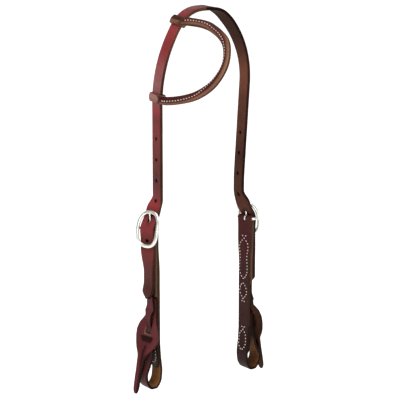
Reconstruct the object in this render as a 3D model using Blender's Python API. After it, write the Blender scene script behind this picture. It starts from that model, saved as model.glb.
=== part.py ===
"""Western one-ear headstall: crown strap, sliding ear loop, two buckled quick-change cheeks.

Sizes are in metres. +Z is up, -Y is forward (towards the nose), -X is the off side and +X
the near side. The origin is on the underside of the crown strap, where it rests on the poll.

A cheek and everything near its buckle is laid out in cheek coordinates: depth (outwards from
the buckle's bar), forward, and height (above the bar). place() turns them into world points
and adds the twist of the hanging leather.
"""

import math
from dataclasses import dataclass

import bmesh
import bpy
from mathutils import Matrix, Vector


# Leather stock
STRAP_WIDTH = 0.019
CROWN_THICKNESS = 0.0042
CHEEK_THICKNESS = 0.0032
FOLD_THICKNESS = 0.0020
LATCH_THICKNESS = 0.0026
BACKING_THICKNESS = 0.0022
EDGE_BEVEL = 0.0006
PIECE_GAP = 0.0003

# Crown strap, from the poll outwards on each side
POLL_FLAT = 0.006
OFF_TOP_BEND_RADIUS = 0.036
OFF_TOP_BEND_TURN = 57.0
OFF_SIDE_BEND_RADIUS = 0.169
OFF_SIDE_BEND_TURN = 33.0
NEAR_TOP_BEND_RADIUS = 0.038
NEAR_TOP_BEND_TURN = 47.0
NEAR_SIDE_BEND_RADIUS = 0.112
NEAR_SIDE_BEND_TURN = 46.7
NEAR_LEAN_RUN = 0.110
NEAR_LEAN_RADIUS = 0.200
NEAR_LEAN_TURN = -3.7
NEAR_CROWN_TILTS = (
    (0.0021, 0.0), (0.0012, 2.0), (-0.0014, 9.0), (-0.006, 15.0),
    (-0.015, 18.0), (-0.034, 12.0), (-0.063, 4.0), (-0.085, 0.0),
)
POINT_LENGTH = 0.009
POINT_WIDTH = 0.005
BILLET_SWING = 0.018
TIP_RUN = 0.021
TIP_REST = 0.0045

# Punched holes in the billets
HOLE_RADIUS = 0.0024
HOLE_PITCH = 0.0254
HOLES_ABOVE = 4
HOLES_BELOW = 1
HOLE_SIDES = 14
FRAME_STATIONS = 40
FRAME_SIDES = 8
BAR_SIDES = 12
LATCH_LANES = 4
FLAT_WITHIN = 0.000001

# Buckle: an oval frame with a bar across it and a tongue of bent wire
BUCKLE_WIDTH = 0.0318
BUCKLE_HEIGHT = 0.045
FRAME_BAND = 0.0043
FRAME_THICKNESS = 0.0030
FRAME_TOP = -0.0010
FRAME_BOW = 0.0026
OVAL_POWER = 2.6
BAR_RADIUS = 0.0016
TONGUE_RADIUS = 0.0010
TONGUE_TIP_RADIUS = 0.0007
TONGUE_NECK_RADIUS = 0.000875
TONGUE_SWING = 6.0
TONGUE_OVERHANG = 0.0020

# Cheek: places are measured down from the bar
FOLD_BLEND = 0.009
OUTER_LAYER_DROP = 0.083
HEAD_TOP_DROP = 0.0836
HEAD_TOP_WIDTH = 0.012
BUMP_DROP = 0.100
BUMP_WIDTH = 0.0175
NECK_DROP = 0.105
NECK_WIDTH = 0.0118
NECK_LOW_DROP = 0.118
NECK_LOW_WIDTH = 0.0102
NECK_END_DROP = 0.136
LOOP_START_DROP = 0.138
LOOP_WIDTH = 0.0207
LOOP_FLAT = 0.004
LOOP_BULGE = 0.0028
LEG_FULL_WIDTH_DROP = 0.152
LEG_COURSE = (
    (0.0112, 0.168), (0.0072, 0.156), (0.0054, 0.148), (0.0045, 0.139), (0.0045, 0.132),
    (0.0056, 0.126), (0.0068, 0.119), (0.0072, 0.113), (0.0066, 0.108), (0.0056, 0.104),
)

# Latch strap: its course is (depth, drop), its shape (drop, half opening of the slit, half width)
LATCH_ROOT_DROP = 0.087
LATCH_LEAVE_DROP = 0.102
SLIT_TOP_DROP = 0.1035
SLIT_BOTTOM_DROP = 0.131
LATCH_COURSE = (
    (0.0021, 0.107), (0.0036, 0.113), (0.0057, 0.119), (0.0087, 0.127), (0.0096, 0.132),
    (0.0103, 0.139), (0.0122, 0.146), (0.0158, 0.155), (0.0220, 0.178), (0.0268, 0.203),
)
LATCH_SHAPE = (
    (0.087, 0.0030, 0.0095), (0.096, 0.0020, 0.0095), (0.1030, 0.0010, 0.0095),
    (0.1035, 0.0010, 0.0095), (0.1050, 0.0044, 0.0098), (0.1070, 0.0070, 0.0104),
    (0.110, 0.0070, 0.0114), (0.1135, 0.0068, 0.0128), (0.117, 0.0064, 0.0140),
    (0.121, 0.0062, 0.0149), (0.126, 0.0060, 0.0156), (0.131, 0.0060, 0.0158),
    (0.136, 0.0058, 0.0157), (0.141, 0.0054, 0.0150), (0.146, 0.0048, 0.0133),
    (0.150, 0.0042, 0.0112), (0.154, 0.0033, 0.0086), (0.158, 0.0026, 0.0067),
    (0.166, 0.0022, 0.0056), (0.176, 0.0018, 0.0047), (0.187, 0.0016, 0.0043),
    (0.197, 0.0014, 0.0039), (0.201, 0.0011, 0.0030), (0.203, 0.0007, 0.0018),
)
TAIL_START_DROP = 0.158
FREE_EDGE_CANTS = ((0.104, 0.0), (0.107, 12.0), (0.110, 24.0), (0.114, 28.0), (0.119, 22.0), (0.127, 16.0))
NEAR_EDGE_CANTS = ((0.113, 0.0), (0.120, 7.0), (0.127, 12.0))

# Backing of the bit loop
BACKING_TOP_DROP = 0.122
BACKING_END_DROP = 0.175

# Seams
THREAD_RADIUS = 0.00035
SEAM_HALF_WIDTH = 0.0060
SEAM_LIFT = 0.0009
SEAM_GAP = 0.0005

# Ear loop
EAR_TOP_ALONG = 0.035
EAR_SPAN_ALONG = 0.094
EAR_WIDTH = 0.0100
EAR_LINING = 0.0024
EAR_FACING = 0.0032
EAR_REACH = 0.0755
EAR_TOE_IN = 32.0
RING_WALL = 0.0026
RING_CLEARANCE = 0.0009
RING_TRIM = 0.0003
FACING_INSET = 0.008
EAR_ROUTE_SHARES = (
    (0.00, 0.20), (0.05, 0.60), (0.22, 0.91), (0.43, 1.00),
    (0.72, 0.92), (0.92, 0.67), (0.99, 0.33),
)

EAR_SEAM_SHIFTS = (
    (0.75, 0.0), (0.67, 0.0010), (0.60, 0.0012), (0.54, 0.0020), (0.42, 0.0030), (0.34, 0.0028), (0.24, 0.0),
)

# Where the two sides hang, and by how many degrees their leather is twisted
OFF_BAR_OUT = 0.0707
OFF_SET_IN = 0.0035
OFF_BAR_DROP = 0.257
OFF_BILLET_DROP = 0.087
OFF_LOOP_DROP = 0.1985
OFF_BUCKLE_TWIST = 27.0
OFF_CHEEK_TWIST = 4.0
OFF_TAIL_STRETCH = 1.0
NEAR_BAR_OUT = 0.0635
NEAR_SET_IN = 0.0
NEAR_BAR_DROP = 0.263
NEAR_BILLET_DROP = 0.083
NEAR_LOOP_DROP = 0.1935
NEAR_BUCKLE_TWIST = 26.0
NEAR_CHEEK_TWIST = 8.0
NEAR_TAIL_STRETCH = 0.93

# Twist of the leather where it hangs
TWIST_HOLD = 0.022
TWIST_FADE = 0.034
TWIST_FADE_ABOVE = 0.016

# Fineness of the solids
STATION_SPACING = 0.0055
STATION_TURN = 7.0
SAMPLES_PER_SPAN = 16


@dataclass(frozen=True)
class Side:
    """What differs between the two sides."""

    name: str
    sign: int
    out: float
    set_in: float
    bar_drop: float
    tail_drop: float
    loop_drop: float
    buckle_twist: float
    cheek_twist: float
    tail_stretch: float


OFF = Side("off", -1, out=OFF_BAR_OUT, set_in=OFF_SET_IN, bar_drop=OFF_BAR_DROP, tail_drop=OFF_BILLET_DROP,
           loop_drop=OFF_LOOP_DROP, buckle_twist=OFF_BUCKLE_TWIST, cheek_twist=OFF_CHEEK_TWIST,
           tail_stretch=OFF_TAIL_STRETCH)
NEAR = Side("near", 1, out=NEAR_BAR_OUT, set_in=NEAR_SET_IN, bar_drop=NEAR_BAR_DROP, tail_drop=NEAR_BILLET_DROP,
            loop_drop=NEAR_LOOP_DROP, buckle_twist=NEAR_BUCKLE_TWIST, cheek_twist=NEAR_CHEEK_TWIST,
            tail_stretch=NEAR_TAIL_STRETCH)

# Depths that follow from the stock and the gaps
LAYER_DEPTH = (CHEEK_THICKNESS + PIECE_GAP) / 2
FOLD_RADIUS = BAR_RADIUS + PIECE_GAP + FOLD_THICKNESS / 2
OUTER_SURFACE = LAYER_DEPTH + CHEEK_THICKNESS / 2
TONGUE_WRAP = BAR_RADIUS + PIECE_GAP + TONGUE_RADIUS
BILLET_AT_BAR = (max(FOLD_RADIUS + FOLD_THICKNESS / 2, TONGUE_WRAP + TONGUE_RADIUS)
                 + PIECE_GAP * 3 + CROWN_THICKNESS / 2)
BILLET_BELOW = OUTER_SURFACE + PIECE_GAP * 1.5 + CROWN_THICKNESS / 2
LATCH_ROOT_DEPTH = (PIECE_GAP + LATCH_THICKNESS) / 2
HEAD_DEPTH = LATCH_ROOT_DEPTH + (LATCH_THICKNESS + CHEEK_THICKNESS) / 2 + PIECE_GAP
BILLET_TIP = HEAD_DEPTH + CHEEK_THICKNESS / 2 + PIECE_GAP + CROWN_THICKNESS / 2
FRAME_HALF = (BUCKLE_HEIGHT - FRAME_BAND) / 2
FRAME_BOTTOM = BILLET_BELOW + (CROWN_THICKNESS + FRAME_THICKNESS) / 2 + PIECE_GAP * 2
FRAME_RAKE = (FRAME_TOP - FRAME_BOTTOM) / 2
FRAME_MIDDLE = (FRAME_TOP + FRAME_BOTTOM) / 2 + FRAME_BOW
BAND_HEIGHT = math.sqrt(FRAME_HALF ** 2 - FRAME_RAKE ** 2)
TOP_LEAN = math.atan((2 * FRAME_BOW - FRAME_RAKE) / BAND_HEIGHT)


def clear_scene():
    """Remove whatever the scene holds."""
    for item in list(bpy.data.objects):
        bpy.data.objects.remove(item, do_unlink=True)


def smoothstep(value):
    """Ease from 0 to 1."""
    value = min(max(value, 0.0), 1.0)
    return value * value * (3 - 2 * value)


def cheek_turn(side, height):
    """Angle by which the leather at this height above the bar is turned about the vertical."""
    fade = TWIST_FADE_ABOVE if height > 0 else TWIST_FADE
    away = smoothstep((abs(height) - TWIST_HOLD) / fade)
    rest = 0.0 if height > 0 else side.cheek_twist
    return math.radians(side.buckle_twist * (1 - away) + rest * away)


def place(side, depth, forward, height):
    """World point of a place in cheek coordinates."""
    turn = cheek_turn(side, height)
    hang = side.out - side.set_in * smoothstep((-height - TWIST_HOLD) / TWIST_FADE)
    x, y = side.sign * depth, -forward
    return Vector((
        side.sign * hang + x * math.cos(turn) - y * math.sin(turn),
        x * math.sin(turn) + y * math.cos(turn),
        height - side.bar_drop,
    ))


def bar_centre(side):
    """World point at the middle of the buckle's bar."""
    return Vector((side.sign * side.out, 0, -side.bar_drop))


def smooth(points, first=None, last=None):
    """Points on a smooth curve through the given ones; first and last set its end directions."""
    points = [Vector(p) for p in points]
    gaps = [(b - a).length for a, b in zip(points, points[1:])]
    rates = [(b - a) / gap for a, b, gap in zip(points, points[1:], gaps)]
    slopes = [first or rates[0]]
    for before, after, g, h in zip(rates, rates[1:], gaps, gaps[1:]):
        slopes.append((before * h + after * g) / (g + h))
    slopes.append(last or rates[-1])
    curve = []
    for index, gap in enumerate(gaps):
        a, b = points[index], points[index + 1]
        for step in range(SAMPLES_PER_SPAN):
            t = step / SAMPLES_PER_SPAN
            curve.append(a * (2 * t ** 3 - 3 * t ** 2 + 1) + slopes[index] * gap * (t ** 3 - 2 * t ** 2 + t)
                         + b * (3 * t ** 2 - 2 * t ** 3) + slopes[index + 1] * gap * (t ** 3 - t ** 2))
    return curve + [points[-1]]


def thin_out(points):
    """Stations of a dense (depth, height) curve: at shared heights, and closer where it turns."""
    kept, turned = [points[0]], 0.0
    for before, here, after in zip(points, points[1:], points[2:]):
        low, high = sorted((before.y / STATION_SPACING, here.y / STATION_SPACING))
        rungs = range(math.ceil(low), math.ceil(high))
        for rung in rungs if here.y > before.y else reversed(rungs):
            share = (rung * STATION_SPACING - before.y) / (here.y - before.y)
            at_rung = before + (here - before) * share
            if (at_rung - kept[-1]).length > EDGE_BEVEL:
                kept.append(at_rung)
                turned = 0.0
        turned += math.degrees((here - before).angle(after - here, 0.0))
        if turned >= STATION_TURN and (here - kept[-1]).length > EDGE_BEVEL:
            kept.append(here)
            turned = 0.0
    if len(kept) > 1 and (points[-1] - kept[-1]).length < EDGE_BEVEL:
        kept.pop()
    return kept + [points[-1]]


def normals_of(points):
    """Normals of a plane curve, to the left of its direction of travel."""
    found = []
    for index, _ in enumerate(points):
        along = points[min(index + 1, len(points) - 1)] - points[max(index - 1, 0)]
        found.append(Vector((-along.y, along.x)).normalized())
    return found


def drop_along(points, start, lengths):
    """Points at the given lengths along a plane curve from its point nearest to start."""
    nearest = min(range(len(points)), key=lambda i: (points[i] - start).length)
    found = []
    for length in lengths:
        step = 1 if length > 0 else -1
        index, left = nearest, abs(length)
        while left > (points[index + step] - points[index]).length:
            left -= (points[index + step] - points[index]).length
            index += step
        ahead = (points[index + step] - points[index]).normalized()
        found.append((points[index] + ahead * left, ahead * step))
    return found


def section(width, thickness):
    """Outline of a strap's section with broken edges, as (across, through) pairs."""
    w, t = width / 2, thickness / 2
    b = min(EDGE_BEVEL, t / 2)
    return [(w, b - t), (w, t - b), (w - b, t), (b - w, t), (-w, t - b), (-w, b - t), (b - w, -t), (w - b, -t)]


def add_panel(bm, a, b, c, d):
    """One side face. A warped one is split the same way on every layer, so layers keep apart."""
    flat = (b.co - a.co).cross(c.co - a.co).normalized().dot(d.co - a.co)
    rising = c.co - a.co
    if abs(flat) < FLAT_WITHIN:
        bm.faces.new((a, b, c, d))
    elif rising.z * rising.y > 0:
        bm.faces.new((a, b, c))
        bm.faces.new((a, c, d))
    else:
        bm.faces.new((a, b, d))
        bm.faces.new((b, c, d))


def skin_rings(rings, closed=False):
    """One closed body through rings of points."""
    bm = bmesh.new()
    made = [[bm.verts.new(p) for p in ring] for ring in rings]
    pairs = list(zip(made, made[1:]))
    if closed:
        pairs.append((made[-1], made[0]))
    for low, high in pairs:
        for i, _ in enumerate(low):
            j = (i + 1) % len(low)
            add_panel(bm, low[i], low[j], high[j], high[i])
    if not closed:
        bm.faces.new(reversed(made[0]))
        bm.faces.new(made[-1])
    bmesh.ops.recalc_face_normals(bm, faces=bm.faces)
    return bm


def finish(name, bm, origin, material, smooth_angle=40.0):
    """Turn a bmesh in world coordinates into a named object with its origin at a point."""
    bmesh.ops.translate(bm, verts=bm.verts, vec=-origin)
    mesh = bpy.data.meshes.new(name)
    bm.to_mesh(mesh)
    bm.free()
    mesh.shade_smooth()
    mesh.set_sharp_from_angle(angle=math.radians(smooth_angle))
    item = bpy.data.objects.new(name, mesh)
    item.location = origin
    bpy.context.scene.collection.objects.link(item)
    mesh.materials.append(material)
    return item


def principled(name, color, roughness, metallic=0.0):
    """A plain finish."""
    material = bpy.data.materials.new(name)
    material.use_nodes = True
    shader = material.node_tree.nodes["Principled BSDF"]
    shader.inputs["Base Color"].default_value = (*color, 1.0)
    shader.inputs["Roughness"].default_value = roughness
    shader.inputs["Metallic"].default_value = metallic
    return material


def burgundy(name):
    """Oiled harness leather."""
    return principled(name, (0.16, 0.045, 0.045), 0.45)


def flesh_brown(name):
    """The paler flesh side of the leather."""
    return principled(name, (0.20, 0.075, 0.028), 0.65)


def steel(name):
    """Polished stainless steel."""
    return principled(name, (0.80, 0.80, 0.78), 0.15, 1.0)


def thread(name):
    """Waxed pale thread."""
    return principled(name, (0.75, 0.62, 0.56), 0.6)


def cut(target, cutter_bm, name, operation="DIFFERENCE"):
    """Cut or join a solid with another that stays hidden."""
    cutter = finish(name, cutter_bm, target.location.copy(), principled(name, (1.0, 1.0, 1.0), 0.5))
    cutter.hide_render = True
    cutter.display_type = "WIRE"
    modifier = target.modifiers.new(name, "BOOLEAN")
    modifier.operation = operation
    modifier.solver = "EXACT"
    modifier.object = cutter


def side_strap(side, path, widths, thicknesses=None):
    """A strap along a path of (depth, height) points; its flat side faces along the depth."""
    rings = []
    for index, (point, normal) in enumerate(zip(path, normals_of(path))):
        thickness = thicknesses[index] if thicknesses else CHEEK_THICKNESS
        ring = []
        for across, through in section(widths[index], thickness):
            spot = point + normal * through
            ring.append(place(side, spot.x, across, spot.y))
        rings.append(ring)
    return skin_rings(rings)


def between(height, table):
    """Read a table of (height, value) rows, highest first, by straight lines."""
    for (high, top), (low, bottom) in zip(table, table[1:]):
        if height >= low:
            share = min(max((high - height) / (high - low), 0.0), 1.0)
            return top + (bottom - top) * share
    return table[-1][1]


def crown_half(side):
    """Centreline of one half of the crown strap: (depth, height) points from poll to tip."""
    if side is OFF:
        moves = [(OFF_TOP_BEND_RADIUS, OFF_TOP_BEND_TURN), (OFF_SIDE_BEND_RADIUS, OFF_SIDE_BEND_TURN)]
    else:
        moves = [(NEAR_TOP_BEND_RADIUS, NEAR_TOP_BEND_TURN), (NEAR_SIDE_BEND_RADIUS, NEAR_SIDE_BEND_TURN),
                 (NEAR_LEAN_RUN, None), (NEAR_LEAN_RADIUS, NEAR_LEAN_TURN)]
    spot = Vector((POLL_FLAT / 2 - side.out, side.bar_drop + CROWN_THICKNESS / 2))
    points, heading = [spot.copy()], 0.0
    for size, turn in moves:
        if turn is None:
            steps = round(size / STATION_SPACING * 2)
            ahead = Vector((math.cos(heading), -math.sin(heading))) * (size / steps)
            points += [spot + ahead * (k + 1) for k in range(steps)]
            spot = points[-1]
            continue
        steps = max(3, round(size * math.radians(abs(turn)) / STATION_SPACING * 2))
        for _ in range(steps):
            bend = math.radians(turn / steps)
            chord = 2 * size * math.sin(abs(bend) / 2)
            middle = heading + bend / 2
            spot = spot + Vector((math.cos(middle), -math.sin(middle))) * chord
            heading += bend
            points.append(spot.copy())
    side_depth = spot.x
    clear = (FRAME_THICKNESS + CROWN_THICKNESS) / 2 + PIECE_GAP * 3
    behind_top = Vector((FRAME_TOP - clear * math.cos(TOP_LEAN), BAND_HEIGHT - clear * math.sin(TOP_LEAN)))
    hang = BAND_HEIGHT + BILLET_SWING
    spare = max(1, round((spot.y - hang) / STATION_SPACING))
    points += [spot + Vector((0, hang - spot.y)) * (k / spare) for k in range(1, spare)]
    down, slanting = Vector((0, -1)), Vector((math.sin(TOP_LEAN), -math.cos(TOP_LEAN)))
    behind_bottom, tip_start = FRAME_BAND * 1.5 - BAND_HEIGHT, TIP_RUN - side.tail_drop
    points += smooth([(side_depth, hang), behind_top], down, slanting)[:-1]
    points += smooth([behind_top, (BILLET_AT_BAR, 0), (BILLET_BELOW, behind_bottom)], slanting, down)[:-1]
    points += smooth([(BILLET_BELOW, behind_bottom), (BILLET_BELOW, tip_start)], down, down)[:-1]
    tip_depth = BILLET_TIP if side.tail_drop > HEAD_TOP_DROP else BILLET_BELOW
    return points + smooth([(BILLET_BELOW, tip_start), (tip_depth, TIP_REST - side.tail_drop),
                            (tip_depth, -side.tail_drop)], down)


def crown_path():
    """The whole centreline in (x, z), off tip to near tip."""
    joined = []
    for side, order in ((OFF, -1), (NEAR, 1)):
        half = [Vector((side.sign * (p.x + side.out), p.y - side.bar_drop))
                for p in thin_out(crown_half(side))]
        joined += half[::order]
    return joined


def crown_place(x, forward, z):
    """World point of a place on the crown strap."""
    side = OFF if x < 0 else NEAR
    return place(side, abs(x) - side.out, forward, z + side.bar_drop)


def tongue_line():
    """Two (depth, height) points on the tongue's straight shaft, root and tip."""
    band = math.hypot(FRAME_THICKNESS / 2 * math.cos(TOP_LEAN), FRAME_BAND / 2 * math.sin(TOP_LEAN))
    tip = Vector((FRAME_TOP + band + PIECE_GAP + TONGUE_RADIUS, BAND_HEIGHT + TONGUE_OVERHANG))
    return Vector((BAR_RADIUS / 4, TONGUE_WRAP + BAR_RADIUS)), tip


def used_hole(side):
    """(depth, height) where the tongue goes through the billet."""
    root, tip = tongue_line()
    path = [p for p in crown_half(side) if abs(p.y) < FRAME_HALF]
    along = (tip - root).normalized()
    return min(path, key=lambda p: abs((p - root).cross(along)))


def build_crown():
    """The crown strap with its billets and their holes."""
    path = crown_path()
    rings = []
    for point, normal in zip(path, normals_of(path)):
        side = OFF if point.x < 0 else NEAR
        from_tip = point.y + side.bar_drop + side.tail_drop
        share = smoothstep(from_tip / POINT_LENGTH)
        width = POINT_WIDTH + (STRAP_WIDTH - POINT_WIDTH) * share
        tilt = 0.0 if side is OFF else math.radians(between(point.y, NEAR_CROWN_TILTS))
        ring = []
        for across, through in section(width, CROWN_THICKNESS):
            spot = point + normal * (across * math.sin(tilt) + through * math.cos(tilt))
            forward = across * math.cos(tilt) - through * math.sin(tilt)
            ring.append(crown_place(spot.x, forward, spot.y))
        rings.append(ring)
    crown = finish("crown_strap", skin_rings(rings), Vector((0, 0, 0)), burgundy("crown_leather"))
    cut(crown, hole_cutters(), "billet_hole_cutters")


def hole_cutters():
    """Cylinders through the spare holes and a slot along the tongue through the one in use."""
    bm = bmesh.new()
    for side in (OFF, NEAR):
        half = crown_half(side)
        start = used_hole(side)
        lengths = [-HOLE_PITCH * (k + 1) for k in range(HOLES_ABOVE)]
        lengths += [HOLE_PITCH * (k + 1) for k in range(HOLES_BELOW)]
        spots = [(spot, Vector((-ahead.y, ahead.x)), HOLE_RADIUS, HOLE_RADIUS, CROWN_THICKNESS)
                 for spot, ahead in drop_along(half, start, lengths)]
        root, tip = tongue_line()
        shaft = (tip - root).normalized()
        sweep = start.length * math.tan(math.radians(TONGUE_SWING / 2))
        reach = TONGUE_RADIUS + PIECE_GAP
        middle = root + shaft * (start - root).dot(shaft) + Vector((sweep, 0))
        spots.append((middle, shaft, reach * 1.3, reach * 1.2 + sweep, CROWN_THICKNESS * 2))
        for spot, axis, across_radius, along_radius, half_length in spots:
            add_cutter(bm, side, spot, axis, across_radius, along_radius, half_length)
    bmesh.ops.recalc_face_normals(bm, faces=bm.faces)
    return bm


def add_cutter(bm, side, spot, axis, across_radius, along_radius, half_length):
    """Add one cylinder, laid out in cheek coordinates, to a bmesh."""
    other = Vector((-axis.y, axis.x))
    ends = []
    for reach in (-half_length, half_length):
        ring = []
        for k in range(HOLE_SIDES):
            angle = 2 * math.pi * k / HOLE_SIDES
            point = spot + axis * reach + other * along_radius * math.cos(angle)
            ring.append(bm.verts.new(place(side, point.x, across_radius * math.sin(angle), point.y)))
        ends.append(ring)
    for k in range(HOLE_SIDES):
        j = (k + 1) % HOLE_SIDES
        bm.faces.new((ends[0][k], ends[0][j], ends[1][j], ends[1][k]))
    bm.faces.new(ends[0])
    bm.faces.new(ends[1])


def build_buckle(side):
    """The frame with its bar, and the tongue."""
    half_width = (BUCKLE_WIDTH - FRAME_BAND) / 2
    rings = []
    for k in range(FRAME_STATIONS):
        angle = 2 * math.pi * k / FRAME_STATIONS
        c, s = math.cos(angle), math.sin(angle)
        size = (abs(c) ** OVAL_POWER + abs(s) ** OVAL_POWER) ** (-1 / OVAL_POWER)
        up = size * s
        slope = (FRAME_RAKE - 2 * FRAME_BOW * up) / BAND_HEIGHT
        centre = Vector((FRAME_MIDDLE + FRAME_RAKE * up - FRAME_BOW * up * up,
                         -half_width * size * c, BAND_HEIGHT * up))
        rise = up / BAND_HEIGHT
        outwards = Vector((slope * rise, centre.y / half_width ** 2, rise)).normalized()
        through = Vector((1, 0, -slope)).normalized()
        rings.append([centre + outwards * w + through * t for w, t in (
            (FRAME_BAND / 2 * math.cos(a), FRAME_THICKNESS / 2 * math.sin(a))
            for a in (2 * math.pi * (j + 0.5) / FRAME_SIDES for j in range(FRAME_SIDES)))])
    bm = skin_rings(rings, closed=True)
    straight = STRAP_WIDTH / 2 + PIECE_GAP + BAR_RADIUS / 3
    bend = (straight + half_width) / 2
    line = [Vector((0, -straight)), Vector((0, straight)),
            Vector((FRAME_MIDDLE / 2, bend)), Vector((FRAME_MIDDLE, half_width))]
    line = [Vector((p.x, -p.y)) for p in reversed(line[2:])] + line
    rings = []
    for point, normal in zip(line, normals_of(line)):
        rings.append([Vector((point.x + normal.x * w, point.y + normal.y * w, h)) for w, h in (
            (BAR_RADIUS * math.cos(a), BAR_RADIUS * math.sin(a))
            for a in (2 * math.pi * (k + 0.5) / BAR_SIDES for k in range(BAR_SIDES)))])
    frame = seat_on_bar(side, f"{side.name}_buckle_frame", bm, steel(f"{side.name}_frame_steel"))
    cutter = seat_on_bar(side, f"{side.name}_bar_core", skin_rings(rings), steel(f"{side.name}_bar_steel"))
    cutter.hide_render = True
    cutter.display_type = "WIRE"
    union = frame.modifiers.new("bar", "BOOLEAN")
    union.operation = "UNION"
    union.solver = "EXACT"
    union.object = cutter

    root, tip = tongue_line()
    wrap = []
    for k in range(13):
        angle = math.radians(125 + 290 * k / 12)
        wrap.append(Vector((math.cos(angle), math.sin(angle))) * TONGUE_WRAP)
    shaft = [root + (tip - root) * share for share in (0.0, 0.35, 0.7, 1.0)]
    path = wrap + shaft
    radii = [TONGUE_RADIUS] * (len(path) - 2) + [TONGUE_NECK_RADIUS, TONGUE_TIP_RADIUS]
    rings = []
    for point, normal, radius in zip(path, normals_of(path), radii):
        ring = []
        for j in range(8):
            turn = 2 * math.pi * (j + 0.5) / 8
            spot = point + normal * radius * math.cos(turn)
            ring.append(Vector((spot.x, radius * math.sin(turn), spot.y)))
        rings.append(ring)
    seat_on_bar(side, f"{side.name}_buckle_tongue", skin_rings(rings), steel(f"{side.name}_tongue_steel"))


def seat_on_bar(side, name, bm, material):
    """Put a rigid piece, laid out round the bar, where the bar is."""
    if side.sign < 0:
        bmesh.ops.scale(bm, verts=bm.verts, vec=(-1, 1, 1))
        bmesh.ops.reverse_faces(bm, faces=bm.faces)
    item = finish(name, bm, Vector((0, 0, 0)), material)
    item.location = bar_centre(side)
    item.rotation_euler.z = math.radians(side.buckle_twist)
    return item


def loop_points(side):
    """Control points of the bit loop, as (depth, height), from inner leg to outer leg."""
    top, bottom = -LOOP_START_DROP, -side.loop_drop
    middle = LOOP_WIDTH / 2 - LAYER_DEPTH - LOOP_BULGE
    wide = bottom + LOOP_WIDTH * 0.78
    inner = [
        (-LAYER_DEPTH, top),
        (-LAYER_DEPTH - LOOP_BULGE * 0.35, top + (wide - top) * 0.45),
        (middle - LOOP_WIDTH / 2, wide),
        (middle - LOOP_WIDTH * 0.40, bottom + LOOP_WIDTH * 0.30),
        (middle - LOOP_FLAT / 2, bottom),
    ]
    outer = [
        (middle + LOOP_FLAT / 2, bottom),
        (middle + LOOP_WIDTH * 0.40, bottom + LOOP_WIDTH * 0.30),
        (middle + LOOP_WIDTH / 2, wide),
    ]
    return inner, outer


def cheek_parts(side):
    """The cheek's centreline in its stretches, outer layer first, as dense (depth, height) points."""
    inner, outer = loop_points(side)
    fold = [Vector((math.cos(a), math.sin(a))) * FOLD_RADIUS
            for a in (math.pi * k / 10 for k in range(11))]
    outside = outer + [(depth, -drop) for depth, drop in LEG_COURSE] + [(HEAD_DEPTH, -BUMP_DROP)]
    up, down, out = Vector((0, 1)), Vector((0, -1)), Vector((1, 0))
    front = (smooth([(LAYER_DEPTH, -OUTER_LAYER_DROP), (LAYER_DEPTH, -FOLD_BLEND)])[:-1]
             + smooth([(LAYER_DEPTH, -FOLD_BLEND), fold[0]], up, up))
    back = (smooth([fold[-1], (-LAYER_DEPTH, -FOLD_BLEND)], down, down)[:-1]
            + smooth([(-LAYER_DEPTH, -FOLD_BLEND), inner[0]]))
    leg = smooth(inner, down, out)
    rise = smooth(outside, out, up)[:-1] + smooth([outside[-1], (HEAD_DEPTH, -HEAD_TOP_DROP)])
    return front, fold, back, leg, rise


def build_cheek(side):
    """The long cheek strip: outer layer, fold, inner layer, bit loop, outer leg and head."""
    front, fold, back, leg, rise = cheek_parts(side)
    front, back, leg, rise = (thin_out(part) for part in (front, back, leg, rise))
    head_widths = (
        (-HEAD_TOP_DROP, HEAD_TOP_WIDTH), (-BUMP_DROP, BUMP_WIDTH), (-NECK_DROP, NECK_WIDTH),
        (-NECK_LOW_DROP, NECK_LOW_WIDTH), (-NECK_END_DROP, NECK_LOW_WIDTH),
        (-LEG_FULL_WIDTH_DROP, STRAP_WIDTH),
    )
    path, widths, thick = [], [], []
    for number, part in enumerate((front, fold, back, leg, rise)):
        for point in part if number > 2 else part[:-1]:
            path.append(point)
            widths.append(between(point.y, head_widths) if number == 4 else STRAP_WIDTH)
            skived = number == 1 or (number in (0, 2) and point.y > -FOLD_BLEND)
            share = smoothstep(-point.y / FOLD_BLEND) if skived else 1.0
            thick.append(FOLD_THICKNESS + (CHEEK_THICKNESS - FOLD_THICKNESS) * share)
    bm = side_strap(side, path, widths, thick)
    cheek = finish(f"{side.name}_cheek_strap", bm, bar_centre(side), burgundy(f"{side.name}_cheek_leather"))
    slot = bmesh.new()
    bmesh.ops.create_cube(slot, size=1.0)
    half = FOLD_RADIUS + FOLD_THICKNESS
    corner = (half * 2, (TONGUE_RADIUS + PIECE_GAP) * 2, half * 2)
    bmesh.ops.scale(slot, verts=slot.verts, vec=corner)
    cutter = seat_on_bar(side, f"{side.name}_tongue_slot", slot, steel(f"{side.name}_slot"))
    cutter.hide_render = True
    cutter.display_type = "WIRE"
    difference = cheek.modifiers.new("tongue_slot", "BOOLEAN")
    difference.operation = "DIFFERENCE"
    difference.solver = "EXACT"
    difference.object = cutter


def inner_leg_depth(side, height):
    """Depth of the inner leg's centreline at a height."""
    _, _, back, leg, _ = cheek_parts(side)
    line = back + leg
    for high, low in zip(line, line[1:]):
        if high.y >= height >= low.y and high.y > low.y:
            share = (high.y - height) / (high.y - low.y)
            return high.x + (low.x - high.x) * share
    return -LAYER_DEPTH


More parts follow.
